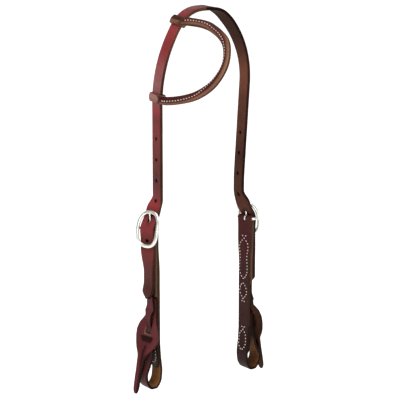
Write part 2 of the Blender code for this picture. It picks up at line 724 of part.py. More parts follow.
def build_backing(side):
    """The second layer on the outward face of the inner leg, with a rounded lower end."""
    offset = CHEEK_THICKNESS / 2 + PIECE_GAP + BACKING_THICKNESS / 2
    path, widths = [], []
    count = 16
    for k in range(count + 1):
        height = -BACKING_TOP_DROP - (BACKING_END_DROP - BACKING_TOP_DROP) * k / count
        path.append(Vector((inner_leg_depth(side, height) + offset, height)))
        from_end = (height + BACKING_END_DROP) / (STRAP_WIDTH / 2)
        share = math.sqrt(max(0.0, 1 - (1 - min(from_end, 1.0)) ** 2))
        widths.append(STRAP_WIDTH * (0.35 + 0.65 * share))
    bm = side_strap(side, path, widths, [BACKING_THICKNESS] * len(path))
    finish(f"{side.name}_loop_backing", bm, bar_centre(side), flesh_brown(f"{side.name}_backing_leather"))


def latch_rows(side):
    """Rows of the latch strap from root to tip: (depth, drop, half opening, half width, slopes)."""
    line = smooth([(LATCH_ROOT_DEPTH, LATCH_ROOT_DROP), (LATCH_ROOT_DEPTH, LATCH_LEAVE_DROP)]
                  + list(LATCH_COURSE), Vector((0, 1)))
    course = [(-point.y, point.x) for point in line]
    rows = []
    for drop, opening, half in LATCH_SHAPE:
        depth = between(-drop, course)
        cants = [math.tan(math.radians(between(-drop, [(-at, angle) for at, angle in table])))
                 for table in (FREE_EDGE_CANTS, NEAR_EDGE_CANTS)]
        if drop > TAIL_START_DROP:
            drop = TAIL_START_DROP + (drop - TAIL_START_DROP) * side.tail_stretch
        rows.append((depth, drop, opening, half, cants))
    return rows


def build_latch(side):
    """The latch strap: a sheet whose slit is spread round the cheek's neck, then made thick."""
    bm = bmesh.new()
    grid = []
    for depth, drop, opening, half, (free, near) in latch_rows(side):
        reaches = [opening + (half - opening) * k / (LATCH_LANES - 1) for k in range(LATCH_LANES)]
        across = [-r for r in reversed(reaches)] + [0.0] + reaches
        row = []
        for a in across:
            outwards = a * side.sign
            lean = outwards * (free if outwards > 0 else near)
            row.append(bm.verts.new(place(side, depth + lean, a, -drop)))
        grid.append(row)
    drops = [row[0] for row in LATCH_SHAPE]
    for index, (low, high) in enumerate(zip(grid, grid[1:])):
        in_slit = SLIT_TOP_DROP <= drops[index] and drops[index + 1] <= SLIT_BOTTOM_DROP
        for lane in range(LATCH_LANES * 2):
            if in_slit and lane in (LATCH_LANES - 1, LATCH_LANES):
                continue
            bm.faces.new((low[lane], low[lane + 1], high[lane + 1], high[lane]))
    bmesh.ops.delete(bm, geom=[v for v in bm.verts if not v.link_faces], context="VERTS")
    bmesh.ops.recalc_face_normals(bm, faces=bm.faces)
    material = burgundy(f"{side.name}_latch_leather")
    latch = finish(f"{side.name}_latch_strap", bm, bar_centre(side), material)
    thicken = latch.modifiers.new("thickness", "SOLIDIFY")
    thicken.thickness = LATCH_THICKNESS
    thicken.offset = 0.0


def tube(points, radius, lifts, sides=5):
    """A thin closed tube through world points; lifts are the directions away from the leather."""
    rings = []
    for index, point in enumerate(points):
        along = points[min(index + 1, len(points) - 1)] - points[max(index - 1, 0)]
        up = lifts[index] - along * (lifts[index].dot(along) / along.length_squared)
        up.normalize()
        across = along.normalized().cross(up)
        rings.append([point + (up * math.sin(a) + across * math.cos(a)) * radius
                      for a in (2 * math.pi * (k + 0.5) / sides for k in range(sides))])
    return skin_rings(rings)


def build_cheek_seam(side, name, top, bottom, crossed_at_top):
    """A closed loop of stitching with crossed ends, on the cheek's inner face."""
    length = bottom - top
    cross = min(SEAM_HALF_WIDTH * 0.8, length * 0.2)
    shares = ((-0.55, 0.0), (0.0, cross / length), (0.85, cross / length * 2.2), (1.0, 0.5),
              (0.85, 1 - cross / length), (0.0, 1.0), (-0.85, 1 - cross / length), (-1.0, 0.5),
              (-0.85, cross / length * 2.2), (0.0, cross / length), (0.55, 0.0))
    flat = smooth([(across * SEAM_HALF_WIDTH, along * length) for across, along in shares])
    flat = flat[::4]
    points, lifts = [], []
    for index, spot in enumerate(flat):
        progress = index / (len(flat) - 1)
        height = -(top + spot.y) if crossed_at_top else -(bottom - spot.y)
        over = SEAM_LIFT * smoothstep((progress - 0.8) / 0.1)
        depth = (inner_leg_depth(side, height) - CHEEK_THICKNESS / 2 - SEAM_GAP - THREAD_RADIUS - over)
        points.append(place(side, depth, spot.x, height))
        lifts.append(place(side, depth - SEAM_LIFT, spot.x, height) - points[-1])
    finish(f"{side.name}_{name}", tube(points, THREAD_RADIUS, lifts), bar_centre(side),
           thread(f"{side.name}_{name}_thread"))


def crown_at(length):
    """Point, outward normal and downward direction on the off half of the crown, by length."""
    half = [Vector((-OFF.out, OFF.bar_drop + CROWN_THICKNESS / 2))] + crown_half(OFF)
    left = length
    for a, b in zip(half, half[1:]):
        if left <= (b - a).length:
            ahead = (b - a).normalized()
            spot = a + ahead * left
            point = Vector((-(spot.x + OFF.out), 0, spot.y - OFF.bar_drop))
            down = Vector((-ahead.x, 0, ahead.y))
            return point, Vector((down.z, 0, -down.x)), down
        left -= (b - a).length
    raise ValueError("the crown is shorter than that")


def ear_ring(along):
    """A flat ring round the crown strap at a length along it."""
    rings = []
    for share in (-0.5, -0.25, 0.0, 0.25, 0.5):
        point, outwards, _ = crown_at(along + share * EAR_WIDTH)
        bore = [RING_CLEARANCE, RING_CLEARANCE + RING_WALL]
        loops = []
        for grow in bore:
            w = STRAP_WIDTH / 2 + grow
            t = CROWN_THICKNESS / 2 + grow
            c = EDGE_BEVEL + grow / 3
            corners = ((w, t - c), (w - c, t), (c - w, t), (-w, t - c),
                       (-w, c - t), (c - w, -t), (w - c, -t), (w, c - t))
            loops.append([point + Vector((0, -a, 0)) + outwards * b for a, b in corners])
        rings.append(loops)
    bm = bmesh.new()
    made = [[[bm.verts.new(p) for p in loop] for loop in station] for station in rings]
    count = len(made[0][0])
    for low, high in zip(made, made[1:]):
        for which in (0, 1):
            for i in range(count):
                j = (i + 1) % count
                bm.faces.new((low[which][i], low[which][j], high[which][j], high[which][i]))
    for station in (made[0], made[-1]):
        for i in range(count):
            j = (i + 1) % count
            bm.faces.new((station[0][i], station[0][j], station[1][j], station[1][i]))
    bmesh.ops.recalc_face_normals(bm, faces=bm.faces)
    return bm


def ear_line():
    """Centreline of the ear piece's lining, and its face normals."""
    top, top_out, _ = crown_at(EAR_TOP_ALONG)
    low, low_out, _ = crown_at(EAR_TOP_ALONG + EAR_SPAN_ALONG)
    lift = CROWN_THICKNESS / 2 + RING_CLEARANCE + RING_WALL / 2
    lean = math.radians(EAR_TOE_IN)
    reach = Vector((math.sin(lean), -math.cos(lean), 0)) * EAR_REACH
    forward = Vector((0, -1, 0))
    inset = forward * (STRAP_WIDTH / 2 - RING_WALL)
    start, end = top + top_out * lift + inset, low + low_out * lift + inset
    exits = forward * (STRAP_WIDTH / 2 + RING_CLEARANCE + RING_WALL)
    points = [start, top + top_out * lift + exits]
    for down, out in EAR_ROUTE_SHARES[1:-1]:
        points.append(top + (low - top) * down + reach * out)
    points += [low + low_out * lift + exits, end]
    curve = smooth(points, forward, -forward)
    normals = []
    for point in curve:
        half = smoothstep((top.z - point.z) / (top.z - low.z))
        normals.append((top_out * (1 - half) + low_out * half).normalized())
    return curve, normals


def ear_frames():
    """Stations of the ear piece: point, direction along, face normal."""
    curve, normals = ear_line()
    keep = list(range(0, len(curve), 4)) + ([len(curve) - 1] if (len(curve) - 1) % 4 else [])
    stations = []
    for index in keep:
        along = (curve[min(index + 1, len(curve) - 1)] - curve[max(index - 1, 0)]).normalized()
        normal = (normals[index] - along * normals[index].dot(along)).normalized()
        stations.append((curve[index], along, normal))
    return stations


def ribbon(stations, width, thickness, offset):
    """A flat strip along a space curve, its face square to the normals, offset along them."""
    rings = []
    for point, along, normal in stations:
        across = along.cross(normal)
        rings.append([point + normal * (offset + t) + across * w for w, t in section(width, thickness)])
    return skin_rings(rings)


def build_ear():
    """The ear piece with its two rings, its sewn-on facing and the seam."""
    stations = ear_frames()
    origin = ear_slide_centre()
    lining = ribbon(stations, EAR_WIDTH - RING_TRIM * 2, EAR_LINING, 0.0)
    ear = finish("ear_loop", lining, origin, burgundy("ear_leather"))
    for name, along in (("ear_top_ring", EAR_TOP_ALONG), ("ear_low_ring", EAR_TOP_ALONG + EAR_SPAN_ALONG)):
        cut(ear, ear_ring(along), name, "UNION")
    clear = STRAP_WIDTH / 2 + RING_CLEARANCE + RING_WALL + FACING_INSET
    faced = [station for station in stations if -station[0].y >= clear]
    offset = EAR_LINING / 2 + PIECE_GAP * 2 + EAR_FACING / 2
    facing = ribbon(faced, EAR_WIDTH, EAR_FACING, offset)
    finish("ear_facing", facing, origin, burgundy("ear_facing_leather"))
    lift = offset + EAR_FACING / 2 + PIECE_GAP * 2 + THREAD_RADIUS
    seam = []
    for index, (point, along, normal) in enumerate(faced):
        shift = between(1 - index / (len(faced) - 1), EAR_SEAM_SHIFTS)
        seam.append(point + normal * lift + along.cross(normal) * shift)
    lifts = [normal for _, _, normal in faced]
    finish("ear_seam", tube(seam[1:-1], THREAD_RADIUS, lifts[1:-1]), origin, thread("ear_thread"))


def ear_slide_centre():
    """Centre of the circle that the crown follows under the ear piece's rings."""
    top, _, _ = crown_at(EAR_TOP_ALONG)
    low, _, _ = crown_at(EAR_TOP_ALONG + EAR_SPAN_ALONG)
    mid, _, _ = crown_at(EAR_TOP_ALONG + EAR_SPAN_ALONG / 2)
    a, b = Vector((top.x, top.z)), Vector((low.x, low.z))
    m = Vector((mid.x, mid.z))
    chord, sag = (b - a).length / 2, (m - (a + b) / 2).length
    radius = (chord * chord + sag * sag) / (2 * sag)
    centre = m + ((a + b) / 2 - m).normalized() * radius
    return Vector((centre.x, 0, centre.y))


def main():
    """Build every piece."""
    clear_scene()
    build_crown()
    build_ear()
    for side in (OFF, NEAR):
        build_buckle(side)
        build_cheek(side)
        build_latch(side)
        build_backing(side)
        build_cheek_seam(side, "fold_seam", FRAME_HALF, OUTER_LAYER_DROP - SEAM_HALF_WIDTH, True)
        build_cheek_seam(side, "latch_seam", OUTER_LAYER_DROP, LATCH_LEAVE_DROP + SEAM_HALF_WIDTH, False)
        build_cheek_seam(side, "loop_seam", LOOP_START_DROP, BACKING_END_DROP - SEAM_HALF_WIDTH, True)


main()
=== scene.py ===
"""Dresses a western one-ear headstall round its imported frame.

Sizes are in metres. +Z is up, -Y points towards the horse's face, -X is the off side. Every
leather piece is laid out as a grid on its middle surface and then given its thickness, its
rounded edge and its holes. Stitches are single lengths of thread, and the buckles are swept steel.

Cheek coordinates are depth (outwards from the buckle's bar), across (forward) and height (above
the bar). Side.place() turns them into world points with the twist of the hanging leather.
"""

import logging
import math
from collections.abc import Callable, Sequence
from dataclasses import dataclass, field
from enum import Enum, IntEnum
from typing import TypeVar

import bmesh
import bpy
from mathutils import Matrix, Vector, noise


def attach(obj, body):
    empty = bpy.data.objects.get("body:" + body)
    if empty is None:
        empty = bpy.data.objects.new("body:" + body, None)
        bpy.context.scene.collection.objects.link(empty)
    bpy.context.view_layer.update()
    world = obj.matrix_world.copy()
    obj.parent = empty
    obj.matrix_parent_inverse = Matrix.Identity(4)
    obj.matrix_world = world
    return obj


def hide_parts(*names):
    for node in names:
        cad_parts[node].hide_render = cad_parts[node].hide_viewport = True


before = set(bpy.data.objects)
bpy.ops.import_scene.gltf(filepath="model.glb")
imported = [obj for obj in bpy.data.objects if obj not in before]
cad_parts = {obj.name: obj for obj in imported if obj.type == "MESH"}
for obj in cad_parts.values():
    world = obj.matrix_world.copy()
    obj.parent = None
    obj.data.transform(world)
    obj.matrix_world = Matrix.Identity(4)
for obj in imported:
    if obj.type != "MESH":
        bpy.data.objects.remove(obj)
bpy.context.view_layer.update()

LOG = logging.getLogger("headstall")
Color = tuple[float, float, float]
Table = Sequence[tuple[float, float]]
Fade = tuple[float, float]  # start and run, for ease()
Window = tuple[float, float, float, float]  # start, rise, end and fall, for window()
Span = tuple[float, ...]  # a range and what it becomes, for Bench.span()
FLESH_PITCH = 70.0
Amount = TypeVar("Amount", float, Vector)


class Slot(Enum):
    """Material slots of the record."""

    CROWN = "crown_leather"
    CHEEK = "cheek_leather"
    LATCH = "latch_leather"
    EAR = "ear_leather"
    LINING = "lining_leather"
    THREAD = "thread"
    STEEL = "buckle_steel"


class Stretch(IntEnum):
    """Stretches of a cheek's strip, in the order in which it runs."""

    OUTER = 0
    FOLD = 1
    INNER = 2
    LOOP = 3
    RISE = 4


class LampKind(Enum):
    """Kinds of studio lamp, by the names that the renderer gives them."""

    SUN = "SUN"
    PANEL = "AREA"


# ---------------------------------------------------------------- curves


def smoothstep(value: float) -> float:
    """Ease from 0 to 1."""
    value = min(max(value, 0.0), 1.0)
    return value * value * (3 - 2 * value)


def ease(value: float, start: float, run: float) -> float:
    """Ease from 0 to 1 over a run past a start."""
    return smoothstep((value - start) / run)


def window(value: float, start: float, rise: float, end: float, fall: float) -> float:
    """Ease from 0 to 1 past a start and back to 0 before an end.

    Args:
        value: Where to look.
        start: Where the rise begins.
        rise: How long the rise takes.
        end: Where the fall is over.
        fall: How long the fall takes.

    Returns:
        The eased value.
    """
    return ease(value, start, rise) * smoothstep((end - value) / fall)


def hermite(share: float, start: Amount, leaving: Amount, end: Amount, arriving: Amount) -> Amount:
    """A smooth way from one value to another.

    Args:
        share: How far along the way, from 0 to 1.
        start: The first value.
        leaving: Rate of change at the start, for the whole way.
        end: The last value.
        arriving: Rate of change at the end, for the whole way.

    Returns:
        The value at that share.
    """
    square, cube = share ** 2, share ** 3
    return (start * (2 * cube - 3 * square + 1) + leaving * (cube - 2 * square + share)
            + end * (3 * square - 2 * cube) + arriving * (cube - square))


def between(height: float, table: Table) -> float:
    """Read a table of (height, value) rows, highest first, by straight lines.

    Args:
        height: Where to read the table.
        table: Rows of (height, value).

    Returns:
        The value at that height, held at the table's ends.
    """
    for (high, top), (low, bottom) in zip(table, table[1:]):
        if height >= low:
            share = min(max((high - height) / (high - low), 0.0), 1.0)
            return top + (bottom - top) * share
    return table[-1][1]


def smooth(points: Sequence, first: Vector | None = None, last: Vector | None = None,
           samples: int = 16) -> list[Vector]:
    """Points on a smooth curve through the given ones.

    Args:
        points: The points to pass through.
        first: Direction at the start, or None to head for the next point.
        last: Direction at the end, or None to come from the point before.
        samples: Points made for each span.

    Returns:
        The curve's points, ends included.
    """
    points = [Vector(p) for p in points]
    gaps = [(b - a).length for a, b in zip(points, points[1:])]
    rates = [(b - a) / gap for a, b, gap in zip(points, points[1:], gaps)]
    slopes = [first or rates[0]]
    for before, after, g, h in zip(rates, rates[1:], gaps, gaps[1:]):
        slopes.append((before * h + after * g) / (g + h))
    slopes.append(last or rates[-1])
    curve = []
    for index, gap in enumerate(gaps):
        a, b = points[index], points[index + 1]
        for step in range(samples):
            curve.append(hermite(step / samples, a, slopes[index] * gap, b, slopes[index + 1] * gap))
    return curve + [points[-1]]


class Path:
    """A polyline that is read by length."""

    def __init__(self, points: Sequence[Vector]) -> None:
        """Keep the points that differ and their lengths along the line."""
        self.points = [points[0]]
        self.lengths = [0.0]
        for point in points[1:]:
            step = (point - self.points[-1]).length
            if step > 1e-7:
                self.points.append(point)
                self.lengths.append(self.lengths[-1] + step)

    @property
    def length(self) -> float:
        """The whole length."""
        return self.lengths[-1]

    def at(self, along: float) -> Vector:
        """The point at a length from the start; past an end the line runs straight on."""
        low, high = 0, len(self.lengths) - 1
        while high - low > 1:
            middle = (low + high) // 2
            if self.lengths[middle] <= along:
                low = middle
            else:
                high = middle
        share = (along - self.lengths[low]) / (self.lengths[high] - self.lengths[low])
        return self.points[low].lerp(self.points[high], share)

    def nearest(self, spot: Vector) -> float:
        """Length at the point nearest to a spot."""
        index = min(range(len(self.points)), key=lambda i: (self.points[i] - spot).length_squared)
        return self.lengths[index]

    def evenly(self, spacing: float) -> list[Vector]:
        """Points at even steps of about the given spacing, ends included."""
        count = max(1, round(self.length / spacing))
        return [self.at(self.length * k / count) for k in range(count + 1)]


# ---------------------------------------------------------------- sizes shared by the pieces


@dataclass(frozen=True)
class Stock:
    """What the pieces are cut from, how far apart they lie, and drops below the bar that they share."""

    strap_width: float = 0.019
    crown: float = 0.0042
    cheek: float = 0.0032
    fold: float = 0.0020
    latch: float = 0.0026
    backing: float = 0.0022
    gap: float = 0.0003
    hole_pitch: float = 0.0254
    head_top_drop: float = 0.0836
    latch_root_drop: float = 0.087
    latch_leave_drop: float = 0.102


@dataclass(frozen=True)
class BuckleSizes:
    """The oval frame, its bar and its tongue."""

    width: float = 0.0318
    height: float = 0.045
    band: float = 0.0043
    thickness: float = 0.0030
    top: float = -0.0010
    bow: float = 0.0026
    oval_power: float = 2.6
    bar_radius: float = 0.0016
    tongue_radius: float = 0.0010
    tongue_overhang: float = 0.0020


STOCK = Stock()
BUCKLE = BuckleSizes()
LAYER_DEPTH = (STOCK.cheek + STOCK.gap) / 2
FOLD_RADIUS = BUCKLE.bar_radius + STOCK.gap + STOCK.fold / 2
TONGUE_WRAP = BUCKLE.bar_radius + STOCK.gap + BUCKLE.tongue_radius
BILLET_PLAY = STOCK.gap * 3
BILLET_AT_BAR = (max(FOLD_RADIUS + STOCK.fold / 2, TONGUE_WRAP + BUCKLE.tongue_radius)
                 + BILLET_PLAY + STOCK.crown / 2)
BILLET_BELOW = LAYER_DEPTH + STOCK.cheek / 2 + STOCK.gap * 1.5 + STOCK.crown / 2
LATCH_ROOT_DEPTH = (STOCK.gap + STOCK.latch) / 2
HEAD_DEPTH = LATCH_ROOT_DEPTH + (STOCK.latch + STOCK.cheek) / 2 + STOCK.gap
BILLET_TIP = HEAD_DEPTH + STOCK.cheek / 2 + STOCK.gap + STOCK.crown / 2
FRAME_HALF = (BUCKLE.height - BUCKLE.band) / 2
FRAME_BOTTOM = BILLET_BELOW + (STOCK.crown + BUCKLE.thickness) / 2 + STOCK.gap * 2
FRAME_RAKE = (BUCKLE.top - FRAME_BOTTOM) / 2
FRAME_MIDDLE = (BUCKLE.top + FRAME_BOTTOM) / 2 + BUCKLE.bow
BAND_HEIGHT = math.sqrt(FRAME_HALF ** 2 - FRAME_RAKE ** 2)
TOP_LEAN = math.atan((2 * BUCKLE.bow - FRAME_RAKE) / BAND_HEIGHT)


@dataclass(frozen=True)
class Side:
    """What differs between the off side and the near side."""

    name: str
    sign: int
    out: float
    set_in: float
    bar_drop: float
    tail_drop: float
    loop_drop: float
    buckle_twist: float
    cheek_twist: float
    tail_stretch: float
    crown_moves: tuple[tuple[float, float | None], ...]
    crown_tilts: Table
    # Tone along the crown strap by height: painted shade, strongest on the billet in and below the buckle, and a
    # painted highlight where it is below 0.
    crown_shading: Table
    twist_hold: float = 0.022
    twist_fade: float = 0.034
    twist_fade_above: float = 0.016

    def turn(self, height: float) -> float:
        """Angle by which the leather at a height above the bar is turned about the vertical."""
        fade = self.twist_fade_above if height > 0 else self.twist_fade
        away = smoothstep((abs(height) - self.twist_hold) / fade)
        rest = 0.0 if height > 0 else self.cheek_twist
        return math.radians(self.buckle_twist * (1 - away) + rest * away)

    def place(self, depth: float, across: float, height: float) -> Vector:
        """World point of a place in cheek coordinates."""
        turn = self.turn(height)
        hang = self.out - self.set_in * smoothstep((-height - self.twist_hold) / self.twist_fade)
        x, y = self.sign * depth, -across
        return Vector((
            self.sign * hang + x * math.cos(turn) - y * math.sin(turn),
            x * math.sin(turn) + y * math.cos(turn),
            height - self.bar_drop,
        ))

    def on_bar(self, depth: float, across: float, height: float) -> Vector:
        """World point of a place on the rigid buckle, which turns with the bar."""
        turn = math.radians(self.buckle_twist)
        x, y = self.sign * depth, -across
        return Vector((
            self.sign * self.out + x * math.cos(turn) - y * math.sin(turn),
            x * math.sin(turn) + y * math.cos(turn),
            height - self.bar_drop,
        ))

    def outwards(self, height: float) -> Vector:
        """World direction away from the head at a height."""
        return self.place(1.0, 0.0, height) - self.place(0.0, 0.0, height)


OFF = Side("off", -1, out=0.0707, set_in=0.0035, bar_drop=0.257, tail_drop=0.087,
           loop_drop=0.1985, buckle_twist=27.0, cheek_twist=4.0, tail_stretch=1.0,
           crown_moves=((0.036, 57.0), (0.169, 33.0)), crown_tilts=((0.0, 0.0),),
           crown_shading=((0.0, 0.5), (-0.0026, 0.3), (-0.0076, 0.1), (-0.0163, -0.25), (-0.0250, 0.1),
                        (-0.0324, 0.1), (-0.0435, 0.0), (-0.0634, -0.55), (-0.082, -0.95), (-0.1006, -0.8),
                        (-0.1180, 0.2), (-0.1254, 0.55), (-0.1477, 0.5), (-0.1725, 0.72), (-0.1998, 0.8),
                        (-0.2150, 0.62), (-0.2290, 0.2), (-0.2420, 0.9), (-0.2510, 0.35), (-0.2570, 0.35),
                        (-0.2710, 0.85), (-0.2860, 0.6), (-0.3010, 0.8), (-0.3238, 1.0)))
NEAR = Side("near", 1, out=0.0635, set_in=0.0, bar_drop=0.263, tail_drop=0.083,
            loop_drop=0.1935, buckle_twist=26.0, cheek_twist=8.0, tail_stretch=0.93,
            crown_moves=((0.038, 47.0), (0.112, 46.7), (0.110, None), (0.200, -3.7)),
            crown_tilts=((0.0021, 0.0), (0.0012, 2.0), (-0.0014, 9.0), (-0.006, 15.0), (-0.015, 18.0),
                         (-0.034, 12.0), (-0.063, 4.0), (-0.085, 0.0)),
            crown_shading=((0.0, 1.0), (-0.021, 1.0), (-0.0361, 0.95), (-0.051, 0.65), (-0.0659, 0.32), (-0.0882, 0.0),
                         (-0.113, 0.35), (-0.1378, 0.45), (-0.1626, 0.6), (-0.1874, 0.8), (-0.2122, 0.65),
                         (-0.237, 0.72)))


# ---------------------------------------------------------------- finishes


class Bench:
    """A small helper that adds and joins shader nodes."""

    def __init__(self, name: str) -> None:
        """Start a material with a Principled shader."""
        self.material = bpy.data.materials.new(name)
        self.material.use_nodes = True
        self.tree = self.material.node_tree
        self.shader = self.tree.nodes["Principled BSDF"]
        coordinates = self.tree.nodes.new("ShaderNodeTexCoord")
        self.spot = coordinates.outputs["Object"]
        self.uv = coordinates.outputs["UV"]

    def node(self, kind: str, **values: object) -> bpy.types.Node:
        """Add a node, set its properties and link or set its inputs.

        Args:
            kind: The node's type.
            **values: Properties by name; inputs by name with an "in_" prefix.

        Returns:
            The new node.
        """
        made = self.tree.nodes.new(kind)
        for key, value in values.items():
            if not key.startswith("in_"):
                setattr(made, key, value)
        for key, value in values.items():
            if key.startswith("in_"):
                self.feed(made.inputs[key[3:].replace("__", " ")], value)
        return made

    def feed(self, socket: bpy.types.NodeSocket, value: object) -> None:
        """Link a socket to an output, or set its value."""
        if isinstance(value, bpy.types.NodeSocket):
            self.tree.links.new(value, socket)
        elif isinstance(value, tuple) and len(value) == 3 and socket.type == "RGBA":
            socket.default_value = (*value, 1.0)
        else:
            socket.default_value = value

    def attribute(self, name: str) -> bpy.types.NodeSocket:
        """A number stored on the mesh."""
        return self.node("ShaderNodeAttribute", attribute_name=name).outputs["Fac"]

    def noise(self, scale: float, detail: float = 4.0, rough: float = 0.55) -> bpy.types.NodeSocket:
        """Soft random pattern from 0 to 1."""
        return self.node("ShaderNodeTexNoise", in_Vector=self.spot, in_Scale=scale, in_Detail=detail,
                         in_Roughness=rough).outputs["Fac"]

    def span(self, value: object, low: float, high: float, to_low: float = 0.0,
             to_high: float = 1.0) -> bpy.types.NodeSocket:
        """Map a range of values to another and clamp it."""
        return self.node("ShaderNodeMapRange", in_Value=value, **{
            "in_From__Min": low, "in_From__Max": high, "in_To__Min": to_low, "in_To__Max": to_high,
        }).outputs["Result"]

    def _reckon(self, operation: str, a: object, b: object) -> bpy.types.NodeSocket:
        """Result of an operation on two values."""
        made = self.tree.nodes.new("ShaderNodeMath")
        made.operation = operation
        self.feed(made.inputs[0], a)
        self.feed(made.inputs[1], b)
        return made.outputs[0]

    def times(self, a: object, b: object) -> bpy.types.NodeSocket:
        """Product of two values."""
        return self._reckon("MULTIPLY", a, b)

    def plus(self, a: object, b: object) -> bpy.types.NodeSocket:
        """Sum of two values."""
        return self._reckon("ADD", a, b)

    def scale(self, color: object, factor: object) -> bpy.types.NodeSocket:
        """A colour made lighter or darker."""
        made = self.tree.nodes.new("ShaderNodeVectorMath")
        made.operation = "SCALE"
        self.feed(made.inputs[0], color)
        self.feed(made.inputs["Scale"], factor)
        return made.outputs[0]

    def mix(self, share: object, a: object, b: object) -> bpy.types.NodeSocket:
        """Blend of two colours."""
        made = self.tree.nodes.new("ShaderNodeMix")
        made.data_type = "RGBA"
        self.feed(made.inputs["Factor"], share)
        self.feed(made.inputs[6], a)
        self.feed(made.inputs[7], b)
        return made.outputs[2]

    def bump(self, height: object, distance: float, under: object = None) -> bpy.types.NodeSocket:
        """Relief of a given depth, over another one where it is given."""
        made = self.node("ShaderNodeBump", in_Height=height, in_Distance=distance, in_Strength=1.0)
        if under is not None:
            self.tree.links.new(under, made.inputs["Normal"])
        return made.outputs["Normal"]

    def finish(self, color: object, roughness: object, normal: object, **constants: float) -> bpy.types.Material:
        """Feed the shader and give back the material."""
        self.feed(self.shader.inputs["Base Color"], color)
        self.feed(self.shader.inputs["Roughness"], roughness)
        if normal is not None:
            self.feed(self.shader.inputs["Normal"], normal)
        for key, value in constants.items():
            self.shader.inputs[key.replace("_", " ")].default_value = value
        return self.material


@dataclass(frozen=True)
class LeatherFinish:
    """Oiled harness leather: dyed grain, burnished edges and a browner flesh side.

    The sheet's tone paints light and shade: it runs from -1, a painted highlight, through 0, the lit grain,
    to 1, painted shade. Its edges are burnished where its raw value is 0 and left pale where it is 1.
    """

    name: str
    grain: Color
    # The grain in painted shade, at a tone of 1.
    grain_shaded: Color
    flesh: Color
    # The flesh side in painted shade, at a tone of 1.
    flesh_shaded: Color
    edge: Color
    raw_edge: Color
    # A painted highlight on the grain, at a tone of -1.
    painted_highlight: Color
    roughness: float = 0.42
    flesh_roughness: float = 0.22
    gloss: float = 0.05
    pore_size: float = 0.0011
    pore_depth: float = 0.00007
    nap_depth: float = 0.00009
    wave_depth: float = 0.0004
    cloud_scale: float = 24.0
    wave_scale: float = 150.0
    fine_scale: float = 900.0
    fibre_scale: float = 2600.0
    cloud_shade: Span = (0.34, 0.68, 0.82, 1.18)
    fine_shade: Span = (0.35, 0.68, 0.88, 1.12)
    fibre_shade: Span = (0.35, 0.7, 1.15, 0.78)
    pore_edge: Span = (0.0, 0.16)
    pore_shade: Span = (0.0, 1.0, 0.80, 1.0)
    wear: float = 0.4
    worn_edge: Span = (0.42, 0.9)
    # Edges darken with the tone as painted shade.
    shaded_edge: Span = (0.0, 1.0, 1.1, 0.45)
    grain_nap: float = 0.35

    def build(self) -> bpy.types.Material:
        """Make the material.

        Returns:
            A material that reads the sheet's tone, edge, raw and flesh values.
        """
        bench = Bench(self.name)
        tone, edge, flesh = bench.attribute("tone"), bench.attribute("edge"), bench.attribute("flesh")
        clouds = bench.noise(self.cloud_scale)
        fine = bench.noise(self.fine_scale, 5.0, 0.6)
        fibres = bench.noise(self.fibre_scale, 3.0, 0.7)
        cells = bench.node("ShaderNodeTexVoronoi", feature="DISTANCE_TO_EDGE", in_Vector=bench.spot,
                           in_Scale=1.0 / self.pore_size).outputs["Distance"]
        pores = bench.span(cells, *self.pore_edge)
        shade = bench.times(bench.span(clouds, *self.cloud_shade), bench.span(fine, *self.fine_shade))
        # Painted highlight below a tone of 0 and painted shade above it, times random mottle and the darker pores.
        highlighted_grain = bench.mix(bench.span(tone, -1.0, 0.0), self.painted_highlight, self.grain)
        dyed = bench.scale(bench.mix(tone, highlighted_grain, self.grain_shaded),
                           bench.times(shade, bench.span(pores, *self.pore_shade)))
        brown = bench.scale(bench.mix(tone, self.flesh, self.flesh_shaded),
                            bench.times(shade, bench.span(fibres, *self.fibre_shade)))
        color = bench.mix(flesh, dyed, brown)
        worn = bench.plus(edge, bench.times(bench.span(fine, 0.3, 0.7, -0.5, 0.5), self.wear))
        # Edge colour, darkened by the tone's painted shade.
        cut = bench.scale(bench.mix(bench.attribute("raw"), self.edge, self.raw_edge),
                          bench.times(shade, bench.span(tone, *self.shaded_edge)))
        color = bench.mix(bench.span(worn, *self.worn_edge), color, cut)
        roughness = bench.plus(bench.span(fine, 0.3, 0.7, self.roughness - 0.08, self.roughness + 0.1),
                               bench.times(flesh, self.flesh_roughness))
        nap = bench.times(bench.plus(fibres, fine), bench.plus(self.grain_nap, flesh))
        relief = bench.bump(nap, self.nap_depth, bench.bump(pores, self.pore_depth))
        waves = bench.bump(bench.noise(self.wave_scale, 2.0), self.wave_depth, relief)
        return bench.finish(color, roughness, waves, Specular_IOR_Level=self.gloss)


@dataclass(frozen=True)
class ThreadFinish:
    """Waxed twisted thread."""

    name: str
    color: Color
    shade: Color
    roughness: float = 0.62
    sheen: float = 0.3
    twist_scale: float = 2.2
    twist_depth: float = 0.00008
    dirt_scale: float = 420.0
    dirt: Span = (0.45, 0.75, 0.0, 0.55)

    def build(self) -> bpy.types.Material:
        """Make the material with its twist."""
        bench = Bench(self.name)
        twist = bench.node("ShaderNodeTexWave", wave_type="BANDS", bands_direction="DIAGONAL",
                           in_Vector=bench.uv, in_Scale=self.twist_scale, in_Distortion=0.6).outputs["Fac"]
        dirt = bench.noise(self.dirt_scale, 3.0)
        # Painted shade in the grooves of the twist; the next line darkens the thread with dirt in the same colour.
        color = bench.mix(bench.span(twist, 0.0, 0.8), self.shade, self.color)
        color = bench.mix(bench.span(dirt, *self.dirt), color, self.shade)
        return bench.finish(color, self.roughness, bench.bump(twist, self.twist_depth), Sheen_Weight=self.sheen)


